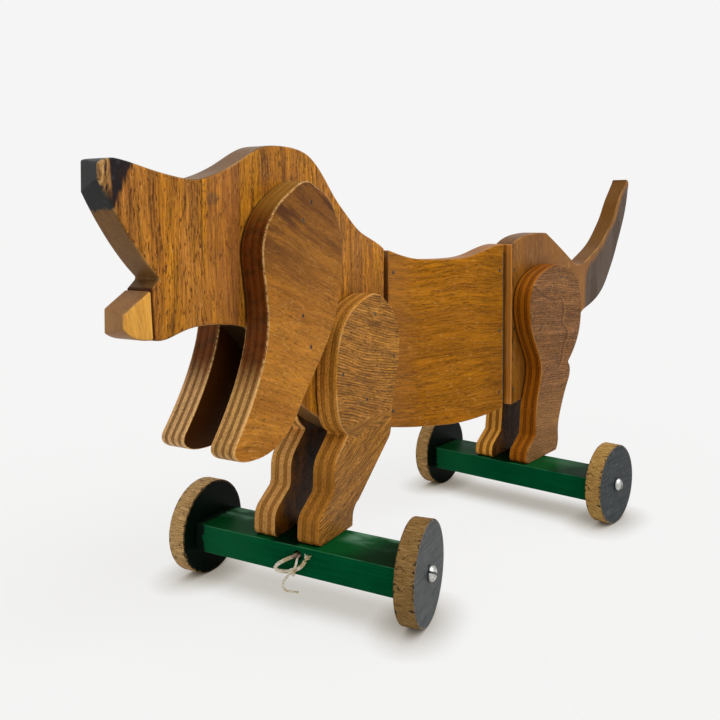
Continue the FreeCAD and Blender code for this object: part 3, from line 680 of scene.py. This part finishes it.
def sawn_material(name, section, grain, colours, edge, overlay, wear=0.5, relief=0.10, rough=0.42,
                  **figure):
    """Varnished wood; colours are (pale, deep, flush, pore), and figure sets the grain group's numbers."""
    material, tree, surface = new_material(name)
    local = section_vector(tree, section)
    values = {"Vector": grain(local), **dict(zip(("Pale", "Deep", "Flush", "Pore"), colours))}
    values.update({key.replace("_", " ").capitalize(): value for key, value in figure.items()})
    face = tree.group(timber_grain, values)
    side = tree.group(ply_edge, {"Vector": local, **edge})
    sides = tree.group(board_sides, {"Turned": SECTIONS[section][1]})
    marks = tree.group(handling_marks, {"Vector": local, "Amount": wear})
    colour = sides["Flat"].mix(side["Color"], face["Color"])
    # Pale rubbed arrises, partly a painted highlight.
    wear_and_sheen = sides["Arris"] * marks["Cloud"].step(0.38, 0.6)
    colour = colour.coat(rgb(214, 164, 104), wear_and_sheen, 0.5 * wear + 0.1)
    colour = colour.coat(rgb(198, 154, 108), marks["Marks"], 0.4)
    colour = overlay(local, colour, sides, marks)
    height = sides["Flat"].blend(side["Height"], face["Height"])
    tree.fill(surface, {"Base Color": colour, "Specular IOR Level": 0.12,
                        "Roughness": rough - 0.1 + marks["Cloud"] * 0.2 + marks["Marks"] * 0.2,
                        "Specular Tint": (1.0, 0.6, 0.25, 1.0), "Normal": bump(tree, height, relief)})
    return material


# Colours are (pale, deep, flush, pore).
HONEY = (rgb(188, 122, 26), rgb(150, 92, 30), rgb(148, 94, 48), rgb(80, 42, 14))
RUSSET = (rgb(184, 120, 34), rgb(158, 98, 24), rgb(142, 86, 26), rgb(78, 40, 10))
TAWNY = (rgb(176, 118, 44), rgb(148, 96, 34), rgb(144, 90, 34), rgb(80, 44, 12))
AMBER = (rgb(164, 102, 10), rgb(144, 86, 8), rgb(148, 92, 26), rgb(80, 40, 4))
ROSY = (rgb(146, 98, 56), rgb(118, 76, 38), rgb(122, 80, 50), rgb(52, 28, 14))
UMBER = (rgb(142, 90, 22), rgb(124, 74, 18), rgb(122, 78, 30), rgb(76, 42, 10))
JAW = (rgb(226, 168, 76), rgb(206, 146, 60), rgb(196, 136, 58), rgb(140, 86, 32))


def plies(sign, long_grain, end_grain, contrast=0.8, speckle=0.25, count=5.0):
    """Edge of a piece of plywood on one side of its board."""
    return {"Middle": sign * (HALF_BOARD + PLY_SHEET / 2), "Thickness": PLY_SHEET, "Plies": count,
            "Long grain": long_grain, "End grain": end_grain, "Glue": rgb(70, 38, 12),
            "Contrast": contrast, "Speckle": speckle}


def solid_edge(shade, speckle=0.35):
    """Edge of a solid board."""
    return {"Middle": 0.0, "Thickness": 2 * HALF_BOARD, "Plies": 3.0, "Long grain": shade, "End grain": shade,
            "Glue": shade, "Contrast": 0.0, "Speckle": speckle}


# %% [markdown]
# ### What each board carries
# The muzzle's tip is painted black, with a painted sheen on its sawn faces, and rubbed bare near its arris.
# The ears are darker at the top, and varnish has stained the tail.  Painted shade darkens the inner sides
# of the ears and legs, the edges where they meet their board, the head's underside between the ears and
# the hinge gap at the front of the tail.  A few hairline checks have opened along the head's grain, and an
# old tear runs down the rear legs.

# %% Head: nose, eye, checks


def jaw_seam(local, colour, sides, marks):
    """The dark open seam where the jaw's tip is glued on."""
    x, _, z = local.split()
    distance = x + z * -0.0664 - 226.5
    seam = distance.hairline(1.1) * z.within(174, 201, 1)
    return colour.coat(rgb(58, 20, 8), seam, 0.85)


def head_checks(local, colour, sides):
    """Two hairline checks that wander along the upright grain, and redder wood ahead of the first."""
    x, _, z = local.split()
    ragged = local.noise((0.5, 0.3, 0.12), detail=3, offset=5)
    wander = (local.noise((0, 0, 0.05), detail=3) - 0.5) * 5
    cheek = (x + wander - 204.5).hairline(0.7) * (z.step(192, 200) * 0.75)
    muzzle = (x + wander - 253.2).hairline(0.7) * z.within(222, 244, 5)
    redder = x.within(176, 199, 3) * ragged.step(0.2, 0.5)
    colour = colour.coat(rgb(150, 92, 56), redder, sides["Flat"], 0.35)
    return colour.coat(rgb(62, 32, 12), cheek.math("MAXIMUM", muzzle), sides["Flat"], 0.6)


def head_low_and_throat_shade(local, colour, sides):
    """Browner towards the bottom of the head, and painted shade, almost black, on the edge between the ears."""
    x, _, z = local.split()
    colour = colour.coat(rgb(92, 56, 12), z.step(208, 178), sides["Flat"], 0.24)
    # Painted shade on the underside edge between the ears.
    throat_shade = x.within(130, 180, 5) * z.step(188, 182)
    return colour.coat(rgb(14, 8, 4), throat_shade, 1 - sides["Flat"], 0.9)


def black_nose(local, colour, sides):
    """Black paint, with a ragged slanting border and a painted sheen on its sawn faces; by the left arris it is
    rubbed through to the wood.
    """
    x, y, z = local.split()
    ragged = local.noise((0.5, 0.3, 0.12), detail=3, offset=5)
    slanting = z * 0.52 + x + (ragged - 0.5) * 9
    rubbed = local.noise((0.45, 0.2, 0.07), detail=4, roughness=0.7, offset=21)
    near_arris = (x + z * -0.1).within(239.9, 247.5, 1.4)
    bare = near_arris * z.step(241, 250) * rubbed.step(0.38, 0.5) * y.step(HALF_BOARD - 2.6, HALF_BOARD - 1.6)
    tan = rubbed.step(0.5, 0.62).mix(rgb(150, 112, 66), rgb(204, 166, 106))
    colour = colour.coat(tan, bare, 0.8)
    dust = local.noise(0.3, detail=4, offset=2)
    black = (dust.step(0.5, 0.8) * 0.4).mix(rgb(14, 19, 28), rgb(58, 68, 82))
    # A grey painted sheen on the nose's sawn faces.
    black = black.coat(rgb(36, 48, 52), 1 - sides["Flat"], 0.5)
    return colour.coat(black, slanting.step(384.6, 387), 1 - bare, 0.97)


def eye_mark(local, colour, sides):
    """A rubbed oval where the eye was, 5.4 mm long and 3.4 mm high to each side of its middle."""
    x, _, z = local.split()
    across = (x - 195.7) / 5.4
    up = (z - 244.2) / 3.4
    away = (across * across + up * up).math("SQRT")
    rough_spot = local.noise(0.6, detail=4, roughness=0.7, offset=61)
    mark = away.step(1.3, 0.5) * rough_spot.step(0.32, 0.56)
    return colour.coat(rgb(86, 66, 46), mark, sides["Flat"], 0.62)


def head_shades(local, colour, sides, marks):
    """All that the head carries, from the oldest to the newest."""
    colour = head_checks(local, colour, sides)
    colour = head_low_and_throat_shade(local, colour, sides)
    colour = jaw_seam(local, colour, sides, marks)
    colour = black_nose(local, colour, sides)
    return eye_mark(local, colour, sides)


# %% Ears


def inner_side(y, sides):
    """1 on the flat side of a plywood piece that faces its board."""
    return sides["Flat"] * abs(y).step(HALF_BOARD + 1.5, HALF_BOARD + 0.5)


def seat_shade(local, colour, sides, board_foot):
    """Painted shade on a sawn edge where it meets the board that it is nailed to, which reaches down to
    board_foot.
    """
    _, y, z = local.split()
    # Painted shade along the seat.
    seat = abs(y).step(HALF_BOARD + 2, HALF_BOARD + 0.9) * z.step(board_foot - 2, board_foot + 3)
    return colour.coat(rgb(16, 8, 3), seat, 1 - sides["Flat"], 0.9)


def ear_shades(local, colour, sides, marks):
    """Darker, streaked tops; edges from deep brown above to pale tan below; a rubbed arris with a painted
    highlight; painted shade on the inner side and seat.
    """
    _, y, z = local.split()
    slanted = tilted(24)(local).stretch((0.02, 0.1, 0.16))
    streaks = slanted.noise(detail=4, roughness=0.6, offset=6).step(0.42, 0.62)
    dark = z.step(172, 246) * (0.52 + streaks * 0.42)
    colour = colour.coat(rgb(66, 28, 4), dark, sides["Flat"])
    edge = 1 - sides["Flat"]
    deep = edge * z.within(160, 236, 22)
    colour = colour.coat(streaks.mix(rgb(88, 34, 0), rgb(62, 22, 0)), deep, 0.92)
    colour = colour.coat(rgb(134, 90, 20), edge, z.step(228, 248), 0.75)
    # A pale crumbled line on the arris: rubbed varnish with a painted highlight.
    crumbled = local.noise((0.5, 0.5, 0.5), detail=4, roughness=0.75, offset=17)
    colour = colour.coat(rgb(224, 178, 116), sides["Arris"], crumbled.step(0.4, 0.56), 0.6)
    colour = seat_shade(local, colour, sides, 177.0)
    # Painted shade on the inner side, which faces the head.
    return colour.coat(rgb(44, 15, 0), inner_side(y, sides), 0.97)


# %% Legs


def leg_figure(local):
    """Saw ridges that run down to the back on the thigh, and up to the back on the shin."""
    _, _, z = local.split()
    shin = z.step(104, 92)
    return local.turn(math.radians(14) + shin * math.radians(-32), "Y_AXIS")


def inner_shade(local, colour, sides, board_foot):
    """Mottled painted shade on the sides that face the board, and along the seat."""
    _, y, _ = local.split()
    smoke = local.noise((0.14, 0.14, 0.05), detail=5, roughness=0.7, offset=14)
    # Mottled painted shade on the inner side.
    dark = smoke.step(0.36, 0.66).mix(rgb(36, 16, 0), rgb(100, 54, 0))
    colour = colour.coat(dark, inner_side(y, sides), 0.94)
    return seat_shade(local, colour, sides, board_foot)


def front_leg_shades(local, colour, sides, marks):
    """Edges a little deeper towards the foot, and painted shade on the inner sides."""
    _, _, z = local.split()
    low_edge = (1 - sides["Flat"]) * z.step(120, 60)
    colour = colour.coat(rgb(106, 60, 10), low_edge, 0.45)
    return inner_shade(local, colour, sides, 110.0)


# The tear in two parts: height over the distance ahead of the axle, then that distance over the height.
UPPER_TEAR = [(-46, 167), (-31, 167), (-15, 171), (5, 180), (10, 182)]
LOWER_TEAR = [(106, -38), (112, -47), (124, -52), (136, -60), (146, -49), (158, -52), (168, -45)]


def rear_leg_shades(local, colour, sides, marks):
    """A torn line that wanders down from the front arris, paler on its lower lip, and painted shade on the inner
    sides.
    """
    x, _, z = local.split()
    ahead = x - BEAM_MIDDLE["tail"]
    above = z - ahead.curve(UPPER_TEAR, (-46, 150), (10, 190))
    beside = ahead - z.curve(LOWER_TEAR, (106, -70), (168, -30))
    first = above.hairline(1.5) * ahead.within(-45, 6, 1)
    second = beside.hairline(2.6) * z.within(107, 167, 2)
    tear = first.math("MAXIMUM", second) * sides["Flat"]
    lip = abs(beside + 3.2).step(3.4, 0.6) * z.within(107, 167, 2)
    colour = colour.coat(rgb(164, 116, 62), lip, sides["Flat"], 0.3)
    colour = colour.coat(rgb(72, 42, 22), tear, 0.6)
    colour = colour.coat(rgb(170, 122, 70), z.step(104, 66), sides["Flat"], 0.36)
    return inner_shade(local, colour, sides, 84.0)


# %% Tail and middle
# Upper edge of the tail's stain: height over x.
STAIN_BORDER = [(-265, 272), (-254, 267), (-235, 243), (-208, 218), (-182, 201), (-158, 186), (-152, 150)]


def tail_stain(local, colour, sides, marks):
    """Grey-black staining on the tail's flat side, which leaves a brown border along its inner edge."""
    x, y, z = local.split()
    border = x.curve(STAIN_BORDER, (-265, 120), (-152, 300))
    smoke = local.noise((0.05, 0.05, 0.012), detail=4, offset=14)
    below = border - z + (smoke - 0.5) * 10
    stain = below.step(-3, 6) * x.step(-148, -160)
    mottled = smoke.step(0.35, 0.65).mix(rgb(36, 33, 31), rgb(68, 61, 56))
    colour = colour.coat(mottled, stain, sides["Flat"], 0.85)
    front = x.step(-9, -6) * (sides["Arris"] * marks["Cloud"].step(0.3, 0.5))
    colour = colour.coat(rgb(178, 140, 100), front, 0.5)
    sawn_front = x.step(-6.5, -5) * (1 - sides["Flat"])
    colour = colour.coat(rgb(214, 134, 46), sawn_front, 0.8)
    rough_lines = local.noise((0.8, 0.8, 0.04), detail=4, roughness=0.7, offset=92)
    wandering = y + (rough_lines - 0.5) * 5
    # Painted shade: a dark line along the sawn front face, down in the hinge gap.
    colour = colour.coat(rgb(44, 26, 10), wandering.within(0.6, 2.2, 1), sawn_front, 0.5)
    chafed = wandering.within(4.8, 5.6, 0.9) * rough_lines.step(0.42, 0.6)
    colour = colour.coat(rgb(188, 150, 104), chafed, sawn_front, 0.6)
    # Painted shade of the hinge gap across the front end of the board.
    painted_shade = local.noise((0.5, 0.5, 0.06), detail=4, roughness=0.7, offset=81)
    painted_shade = painted_shade.step(0.46, 0.58) * x.within(-7.5, -5.6, 1.2)
    return colour.coat(rgb(40, 24, 10), painted_shade, 0.7)


def middle_tones_and_highlight(local, colour, sides, marks):
    """Darker towards the rear end, a painted highlight in the middle, and paler, pinker wood at the front end."""
    x, _, z = local.split()
    colour = colour.coat(rgb(104, 62, 0), x.step(40, 16), sides["Flat"], 0.3)
    # A painted highlight in the middle of the board.
    clear = x.within(34, 72, 24) * z.within(112, 156, 26)
    colour = colour.coat(rgb(200, 130, 12), clear, sides["Flat"], 0.08)
    return colour.coat(rgb(158, 108, 62), x.step(84, 118), sides["Flat"], 0.35)


# %% Boards
finish = {
    "head_board": sawn_material(
        "head_varnish", "head", tilted(88), HONEY, solid_edge(rgb(108, 76, 42), 0.6), head_shades,
        flush_share=0.6, pore_share=0.9, pore_length=3.5, fibre=1.6, band=0.075),
    "jaw_tip": sawn_material(
        "jaw_varnish", "head", tilted(84, 40), JAW, solid_edge(rgb(136, 94, 52), 0.5), jaw_seam,
        flush_share=0.3, pore_share=0.3, pore_length=5.0, fibre=0.6),
    "middle_board": sawn_material(
        "middle_varnish", "middle", tilted(2), AMBER, solid_edge(rgb(150, 96, 44)), middle_tones_and_highlight,
        flush_share=0.4, pore_share=0.6, pore_length=6.0, fibre=1.25, band=0.05),
    "tail_board": sawn_material(
        "tail_varnish", "tail", tilted(86), UMBER, solid_edge(rgb(104, 65, 18)), tail_stain,
        flush_share=0.5, pore_share=0.3, pore_length=9.0, fibre=0.7),
}
for name, material in finish.items():
    print(name, "->", material.name)

# %% Ears and legs
LONG_GRAIN = {
    "left": {"ear": rgb(192, 144, 82), "front_leg": rgb(190, 128, 50), "rear_leg": rgb(156, 88, 10)},
    "right": {"ear": rgb(204, 158, 104), "front_leg": rgb(232, 172, 96), "rear_leg": rgb(226, 160, 66)},
}
for side, sign in (("left", 1), ("right", -1)):
    ear_plies = plies(sign, LONG_GRAIN[side]["ear"], rgb(112, 76, 40), speckle=0.9, count=7.0)
    finish[side + "_ear"] = sawn_material(
        side + "_ear_varnish", "head", tilted(18, 11.0 * sign), RUSSET, ear_plies, ear_shades, wear=0.9,
        flush_share=0.4, pore_share=0.55, pore_length=4.5, fibre=0.8, band=0.03)
    front_plies = plies(sign, LONG_GRAIN[side]["front_leg"], rgb(140, 92, 30), contrast=0.72, speckle=1.0)
    finish[side + "_front_leg"] = sawn_material(
        side + "_front_leg_varnish", "head", leg_figure, TAWNY, front_plies, front_leg_shades,
        wear=0.8, relief=0.2, ridges=1.0, ridge_spacing=1.7,
        flush_share=0.3, pore_share=0.8, pore_length=5.0, fibre=1.45)
    rear_plies = plies(sign, LONG_GRAIN[side]["rear_leg"], rgb(112, 58, 6), contrast=0.75, speckle=0.6)
    finish[side + "_rear_leg"] = sawn_material(
        side + "_rear_leg_varnish", "tail", tilted(3, 25.0 * sign), ROSY, rear_plies, rear_leg_shades,
        wear=0.5, relief=0.5, rough=0.6, ridges=0.6, ridge_spacing=1.9,
        flush_share=0.5, pore_share=0.9, pore_length=3.0, fibre=1.2)
print(len(finish), "sawn parts finished")

# %% [markdown]
# ### Painted beams and wheels
# The beams are brushed with gloss paint that has thinned on the arrises, and their tops carry painted
# reflection and painted shade.  The wheels have a pale bare tread, with dabs of black where the brush went
# over, and grey-black flat sides with brush strokes; one tread is darkened with painted shade and three are
# brightened with painted light.

# %% Beam paint


def beam_paint(name, section, wear_and_sheen):
    """Deep green enamel, rubbed arrises and a black right end; the last argument is the share of the pale painted
    reflection on the top.
    """
    material, tree, surface = new_material(name)
    local = section_vector(tree, section)
    x, y, _ = local.split()
    across, _, up = tree.read("TexCoord", output="Normal").turn(-SECTIONS[section][1]).split()
    arris = abs(across).math("MAXIMUM", abs(up)).step(0.99, 0.86)
    strokes = local.noise((0.9, 0.025, 0.9), detail=4, roughness=0.6)
    cloud = local.noise(0.05, detail=4, offset=4)
    specks = local.noise(0.8, detail=3, offset=40)
    colour = cloud.mix(rgb(0, 60, 32), rgb(2, 84, 48))
    colour = colour.coat(rgb(4, 98, 58), strokes.step(0.4, 0.75), 0.35)
    colour = colour.coat(rgb(6, 30, 18), specks.step(0.66, 0.74), 0.5)
    # Painted reflection and shade on the top: a darker, purer green, darker still where it reflects the legs, and
    # pale patches near the wheels.
    top = up.step(0.5, 0.9)
    behind = BEAM_MIDDLE[section] - x
    shade = (y.step(0, -60) * 0.6).math("MAXIMUM", (y + behind * -0.4).step(38, 62))
    front_right = across.step(0.5, 0.9) * y.step(0, -40)
    colour = colour.coat(rgb(26, 96, 58), front_right, 0.4)
    colour = colour.coat(rgb(8, 70, 12), top, 0.5)
    colour = colour.coat(rgb(0, 16, 4), top * shade, 0.75)
    # Painted shade on the top under the board.
    colour = colour.coat(rgb(2, 8, 4), top, abs(y).step(12, 7.5), 0.9)
    # Pale patches of painted reflection on the back of the top.
    patch = local.noise((0.06, 0.025, 0.06), detail=5, roughness=0.6, offset=12)
    patch = patch.step(0.36, 0.56) * abs(y).within(34, 58, 10) * behind.step(-2, 8)
    colour = colour.coat(rgb(96, 140, 112), patch, top, wear_and_sheen)
    rubbed = arris * cloud.step(0.3, 0.6) * across.step(0, 0.4)
    colour = colour.coat(rgb(90, 150, 110), rubbed, 0.3)
    # The right end is black for about its last 8 mm, with a ragged border.
    ragged = local.noise((0.3, 0.1, 0.3), detail=3, offset=33)
    black_end = (y + ((ragged - 0.5) * 7 + across * -2)).step(BEAM_END + 9, BEAM_END + 7.6)
    colour = colour.coat(rgb(14, 18, 16), black_end, 0.94)
    tree.fill(surface, {"Base Color": colour, "Roughness": 0.22 + cloud * 0.24, "Specular IOR Level": 0.01,
                        "Specular Tint": (0.35, 1.0, 0.6, 1.0), "Normal": bump(tree, strokes, 0.05)})
    return material


finish["front_beam"] = beam_paint("front_beam_green", "head", 0.8)
finish["rear_beam"] = beam_paint("rear_beam_green", "tail", 0.15)

# %% Wheels
OUTER_GREY = {"front": (rgb(46, 49, 50), rgb(81, 85, 86)), "rear": (rgb(37, 41, 42), rgb(62, 67, 68))}
# Painted light on each tread: its wood colour is darkened for one wheel and brightened for three.
PAINTED_TREAD_LIGHT = {"front_left": (0.72, 0.72, 0.68, 1), "front_right": (1.6, 1.75, 2.1, 1),
               "rear_left": (1.24, 1.29, 1.1, 1), "rear_right": (1.34, 1.42, 1.55, 1)}


def wheel_finish(name, corner, outward):
    """Bare tread tinted with its painted light, and painted sides; outward is the sign of y on the outer side."""
    joint = joints[corner + "_wheel_spin"]
    yaw = yaw_of_axle(joint)
    material, tree, surface = new_material(name)
    local = frame_vector(tree, joint["pos_m"], yaw)
    x, y, z = local.split()
    _, sideways, _ = tree.read("TexCoord", output="Normal").turn(-yaw).split()
    radius = (x * x + z * z).math("SQRT")
    ragged = local.noise(0.45, detail=3)
    flat = (abs(sideways) + (ragged - 0.5) * 0.5).step(0.6, 0.72)
    round_about = tree.join(z.math("ARCTAN2", x) * WHEEL_RADIUS, y, 0)
    lines = round_about.noise((1.6, 0.12, 1), detail=4, roughness=0.65)
    cloud = round_about.noise(0.12, detail=3)
    specks = round_about.noise(1.1, detail=3, roughness=0.7, offset=15)
    wood = lines.step(0.3, 0.7).mix(rgb(112, 80, 42), rgb(186, 148, 92))
    wood = wood.coat(rgb(138, 102, 56), cloud.step(0.45, 0.7), 0.5)
    wood = wood.coat(rgb(74, 50, 26), specks.step(0.52, 0.66), 0.5)
    # The tread's painted light.
    wood = wood.tinted(PAINTED_TREAD_LIGHT[corner])
    dabs = round_about.noise((0.35, 0.3, 1), detail=4, roughness=0.7, offset=8)
    rims = abs(y - WHEEL_MIDDLE * outward).step(3.2, 6.4)
    dab = (dabs + rims * 0.12).step(0.6, 0.66)
    wood = wood.coat(rgb(34, 28, 22), dab, 0.88)
    strokes = local.noise((0.05, 1, 1), detail=5, roughness=0.65, offset=2)
    wear = local.noise(0.09, detail=4, offset=6)
    scuffs = local.noise((0.5, 1, 0.9), detail=4, roughness=0.7, offset=44)
    outer = (sideways * outward).math("GREATER_THAN", 0)
    grey = strokes.step(0.3, 0.75).mix(*OUTER_GREY[corner.split("_")[0]])
    grey = grey.coat(rgb(116, 118, 120), wear.step(0.55, 0.75), 0.3)
    grey = grey.coat(rgb(150, 152, 150), scuffs.step(0.62, 0.7), 0.4)
    paint = outer.mix(strokes.mix(rgb(2, 9, 5), rgb(7, 24, 14)), grey)
    rim = radius.step(WHEEL_RADIUS - 1.8, WHEEL_RADIUS - 0.4) * ragged.step(0.4, 0.6)
    paint = paint.coat(rgb(140, 112, 78), rim, 0.6)
    tree.fill(surface, {"Base Color": flat.mix(wood, paint), "Roughness": flat.blend(0.62, 0.3 + wear * 0.2),
                        "Specular IOR Level": 0.05, "Normal": bump(tree, flat.blend(lines, strokes), 0.14)})
    return material


for corner in PAINTED_TREAD_LIGHT:
    outward = 1 if corner.endswith("left") else -1
    finish[corner + "_wheel"] = wheel_finish(corner + "_wheel_finish", corner, outward)

# %% Steel, leather and cotton
SLOT_ANGLES = {"front": (-32, -15), "rear": (70, 50)}


def plain_metal(name, bright, dark, rough, painted_shade=None):
    """Worn steel: two greys mixed by noise, with black painted shade wherever the last argument says."""
    material, tree, surface = new_material(name)
    local = millimetres(tree)
    cloud = local.noise(0.9, detail=4)
    colour = cloud.step(0.35, 0.7).mix(dark, bright)
    # Black painted shade in the screws' slots.
    if painted_shade:
        colour = painted_shade(tree).mix(colour, rgb(22, 20, 18))
    tree.fill(surface, {"Base Color": colour, "Roughness": rough + cloud * 0.2, "Metallic": 1.0,
                        "Normal": bump(tree, cloud, 0.02)})
    return material


def slot_shade(end):
    """Painted shade: 1 in the slots of one axle's two screws, where x * sin a + z * cos a is nearly 0, with a for
    each end.
    """
    joint = joints[end + "_left_wheel_spin"]

    def mask(tree):
        x, y, z = frame_vector(tree, joint["pos_m"], yaw_of_axle(joint)).split()
        to_planes = []
        for angle in SLOT_ANGLES[end]:
            turn = math.radians(angle)
            to_planes.append(x * math.sin(turn) + z * math.cos(turn))
        left, right = (distance.hairline(0.85) for distance in to_planes)
        return y.math("GREATER_THAN", 0).blend(right, left)

    return mask


for end in SLOT_ANGLES:
    finish[end + "_wheel_screws"] = plain_metal(
        end + "_screw_steel", rgb(214, 214, 208), rgb(168, 168, 164), 0.24, slot_shade(end))
nail_steel = plain_metal("nail_steel", rgb(112, 98, 84), rgb(52, 40, 30), 0.4)
for name in frame["nodes"]:
    if name.endswith("_nails"):
        finish[name] = nail_steel

strip_leather, tree, surface = new_material("strip_leather")
local = millimetres(tree)
pebble = tree.read("TexVoronoi", {"Vector": local, "Scale": 0.9}, "Distance", feature="DISTANCE_TO_EDGE")
cloud = local.noise(0.08, detail=4)
tree.fill(surface, {"Base Color": cloud.mix(rgb(34, 34, 24), rgb(72, 70, 48)), "Roughness": 0.7,
                    "Normal": bump(tree, pebble.step(0, 0.2), 0.1)})

string_cotton, tree, surface = new_material("string_cotton")
local = millimetres(tree)
cloud = local.noise(0.16, detail=3, offset=3)
fibre = local.noise(3, detail=4)
colour = cloud.step(0.46, 0.66).mix(rgb(238, 232, 214), rgb(196, 176, 130))
colour = colour.coat(rgb(112, 82, 46), fibre.step(0.46, 0.62), 0.6)
# Painted shade: the string turns brown within a few millimetres of the hole.
from_exit = tree.read("VectorMath", {0: local, 1: tuple(hole / MM)}, "Value", operation="DISTANCE")
colour = colour.coat(rgb(88, 48, 18), from_exit.step(6.5, 3), 0.8)
tree.fill(surface, {"Base Color": colour, "Roughness": 0.85, "Normal": bump(tree, fibre, 0.08)})
for piece in string_pieces:
    piece.data.materials.append(string_cotton)

# %% Put the finishes on
for name, material in finish.items():
    mesh = frame["nodes"][name].data
    mesh.materials.clear()
    mesh.materials.append(material)
print("finishes on", len(finish), "of", len(frame["nodes"]), "sub-parts")

# %% [markdown]
# ## Hinge strips
# Two strips of thin leather are let into the saw cuts and nailed.  Each is a flat band that bends to an
# arc in the gap between two boards, and it has to bend further when the toy turns.  It is made of many
# narrow facets, straight in each board and curved in the gap.

# %% Bent bands
STRIP_THICKNESS = 2 * MM
STRIP_INSET = 13 * MM
HALF_GAP = 4.25 * MM


def band_mesh(name, line, thick, low, high):
    """A band on edge along a plan line: its four long corners carried along, two sides, top, bottom, ends."""
    tangents = tangents_along(line)
    across = np.column_stack([-tangents[:, 1], tangents[:, 0]]) * thick / 2
    levels = np.linspace(low, high, 24)
    side = np.repeat([1, -1], len(levels))
    height = np.concatenate([levels, levels[::-1]])
    plan = line[:, None, :] + side[None, :, None] * across[:, None, :]
    grid = np.concatenate([plan, np.broadcast_to(height[None, :, None], (*plan.shape[:2], 1))], axis=2)
    rows, count = grid.shape[:2]
    quads = wound_quads(rows, count)
    rung = np.arange(len(levels) - 1)
    pairs = np.stack([rung, 2 * len(levels) - 1 - rung, 2 * len(levels) - 2 - rung, rung + 1], -1)
    ends = np.concatenate([pairs[:, ::-1], pairs + (rows - 1) * count])
    mesh = bpy.data.meshes.new(name)
    mesh.from_pydata(grid.reshape(-1, 3), [], np.concatenate([quads, ends])[:, ::-1].tolist())
    mesh.update()
    return mesh


def hinge_line(a, b, centre):
    """Plan line, straight in both boards; between them (1 - t)^2 from + 2 t (1 - t) centre + t^2 to."""
    depths = STRIP_INSET * np.linspace(0, 1, 8)[:, None]
    t = np.linspace(0, 1, 25)[:, None]
    arc = (1 - t) ** 2 * (centre - a * HALF_GAP) + 2 * t * (1 - t) * centre + t ** 2 * (centre + b * HALF_GAP)
    first = centre - a * (HALF_GAP + STRIP_INSET - depths[:-1])
    last = centre + b * (HALF_GAP + depths[1:])
    return np.concatenate([first, arc, last])


def hinge_strip(name, hinge, behind, ahead):
    """The strip of one hinge, straight in the sections behind and ahead of it and curved between them."""
    node = name.replace("strip", "hinge_strip")
    low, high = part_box(node)
    a, b = (np.array([math.cos(SECTIONS[part][1]), math.sin(SECTIONS[part][1])]) for part in (behind, ahead))
    centre = np.array(hinge[:2])
    band = band_mesh(name, hinge_line(a, b, centre), STRIP_THICKNESS, low.z, high.z)
    strip = new_object(name, band)
    strip.data.materials.append(strip_leather)
    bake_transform(strip)
    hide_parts(node)
    print(name, len(strip.data.polygons), "faces")


hinge_strip("front_strip", front_hinge, "middle", "head")
hinge_strip("rear_strip", rear_hinge, "tail", "middle")

# %% [markdown]
# ## Floor and light
# A pale floor in a bright room: an even, slightly warm sky, a wide soft lamp overhead, and a large window
# on the toy's left, a little cooler, which puts a soft shadow on the floor beyond it.  Together they light
# the sides that face the room so that a colour comes out about as it is written.  To a camera the floor
# also glows a little, as paper does that is lit from every side, and a shadow on it stays soft.  Close
# under the wheels and beams the glow is painted darker and warmer: a painted contact shadow, tinted as if
# by light that the wood throws on it.

# %% Floor
floor_mesh = bpy.data.meshes.new("floor")
reach = 40.0
corners = [(reach * x, reach * y, 0) for x, y in ((-1, -1), (1, -1), (1, 1), (-1, 1))]
floor_mesh.from_pydata(corners, [], [(0, 1, 2, 3)])
floor = new_object("floor", floor_mesh)
PAPER = rgb(245, 245, 245)
GLOW = 0.82
floor_paint, tree, surface = new_material("floor_paint")
to_camera = tree.read("LightPath", output="Is Camera Ray")
# To a camera the floor's own colour is a little blue, so that with the warm glow it looks neutral where lit and
# the painted shadow looks warm.
tree.fill(surface, {"Base Color": to_camera.mix(rgb(239, 239, 238), rgb(239, 243, 250)),
                    "Roughness": 0.9, "Specular IOR Level": 0.0})
# Painted contact shadow: the glow is dimmer and warmer where ambient occlusion finds the toy close by.
openness = tree.read("AmbientOcclusion", {"Distance": 0.024}, "AO", samples=8)
contact_shadow_tint = openness.mix(rgb(244, 228, 202), rgb(245, 244, 242))
glow = tree.read("Emission", {"Color": contact_shadow_tint, "Strength": openness})
both = tree.read("MixShader", {0: to_camera * GLOW, 1: Value(tree, surface.outputs[0]), 2: glow})
tree.feed(both, tree.tree.nodes["Material Output"].inputs["Surface"])
floor_mesh.materials.append(floor_paint)

# %% Sky
SKY = 0.45
world = bpy.data.worlds.new("sky")
world.use_nodes = True
tree = Tree(world.node_tree)
backdrop = world.node_tree.nodes["Background"]
tree.fill(backdrop, {"Color": (1.0, 0.955, 0.9, 1), "Strength": SKY})
plain = tree.read("Background", {"Color": PAPER, "Strength": 1})
straight = tree.read("LightPath", output="Is Camera Ray")
for path in ("Is Glossy Ray", "Is Transmission Ray"):
    straight = straight.math("MAXIMUM", tree.read("LightPath", output=path))
both = tree.read("MixShader", {0: straight, 1: Value(tree, backdrop.outputs[0]), 2: plain})
tree.feed(both, world.node_tree.nodes["World Output"].inputs[0])
scene.world = world

# %% Lamps


def lamp(name, towards, strength, width):
    """A distant lamp that shines from a direction; width is how many degrees of the sky it fills."""
    data = bpy.data.lights.new(name, "SUN")
    data.color = (0.935, 0.965, 1.0)
    data.energy = strength
    data.angle = math.radians(width)
    made = new_object(name, data)
    made.rotation_mode = "QUATERNION"
    made.rotation_quaternion = (-Vector(towards)).to_track_quat("-Z", "Y")


lamp("window", (-0.08, 0.66, 0.75), 1.44, 45)
lamp("ceiling", (0.12, 0.10, 1.0), 1.02, 60)
scene.view_settings.view_transform = "Standard"
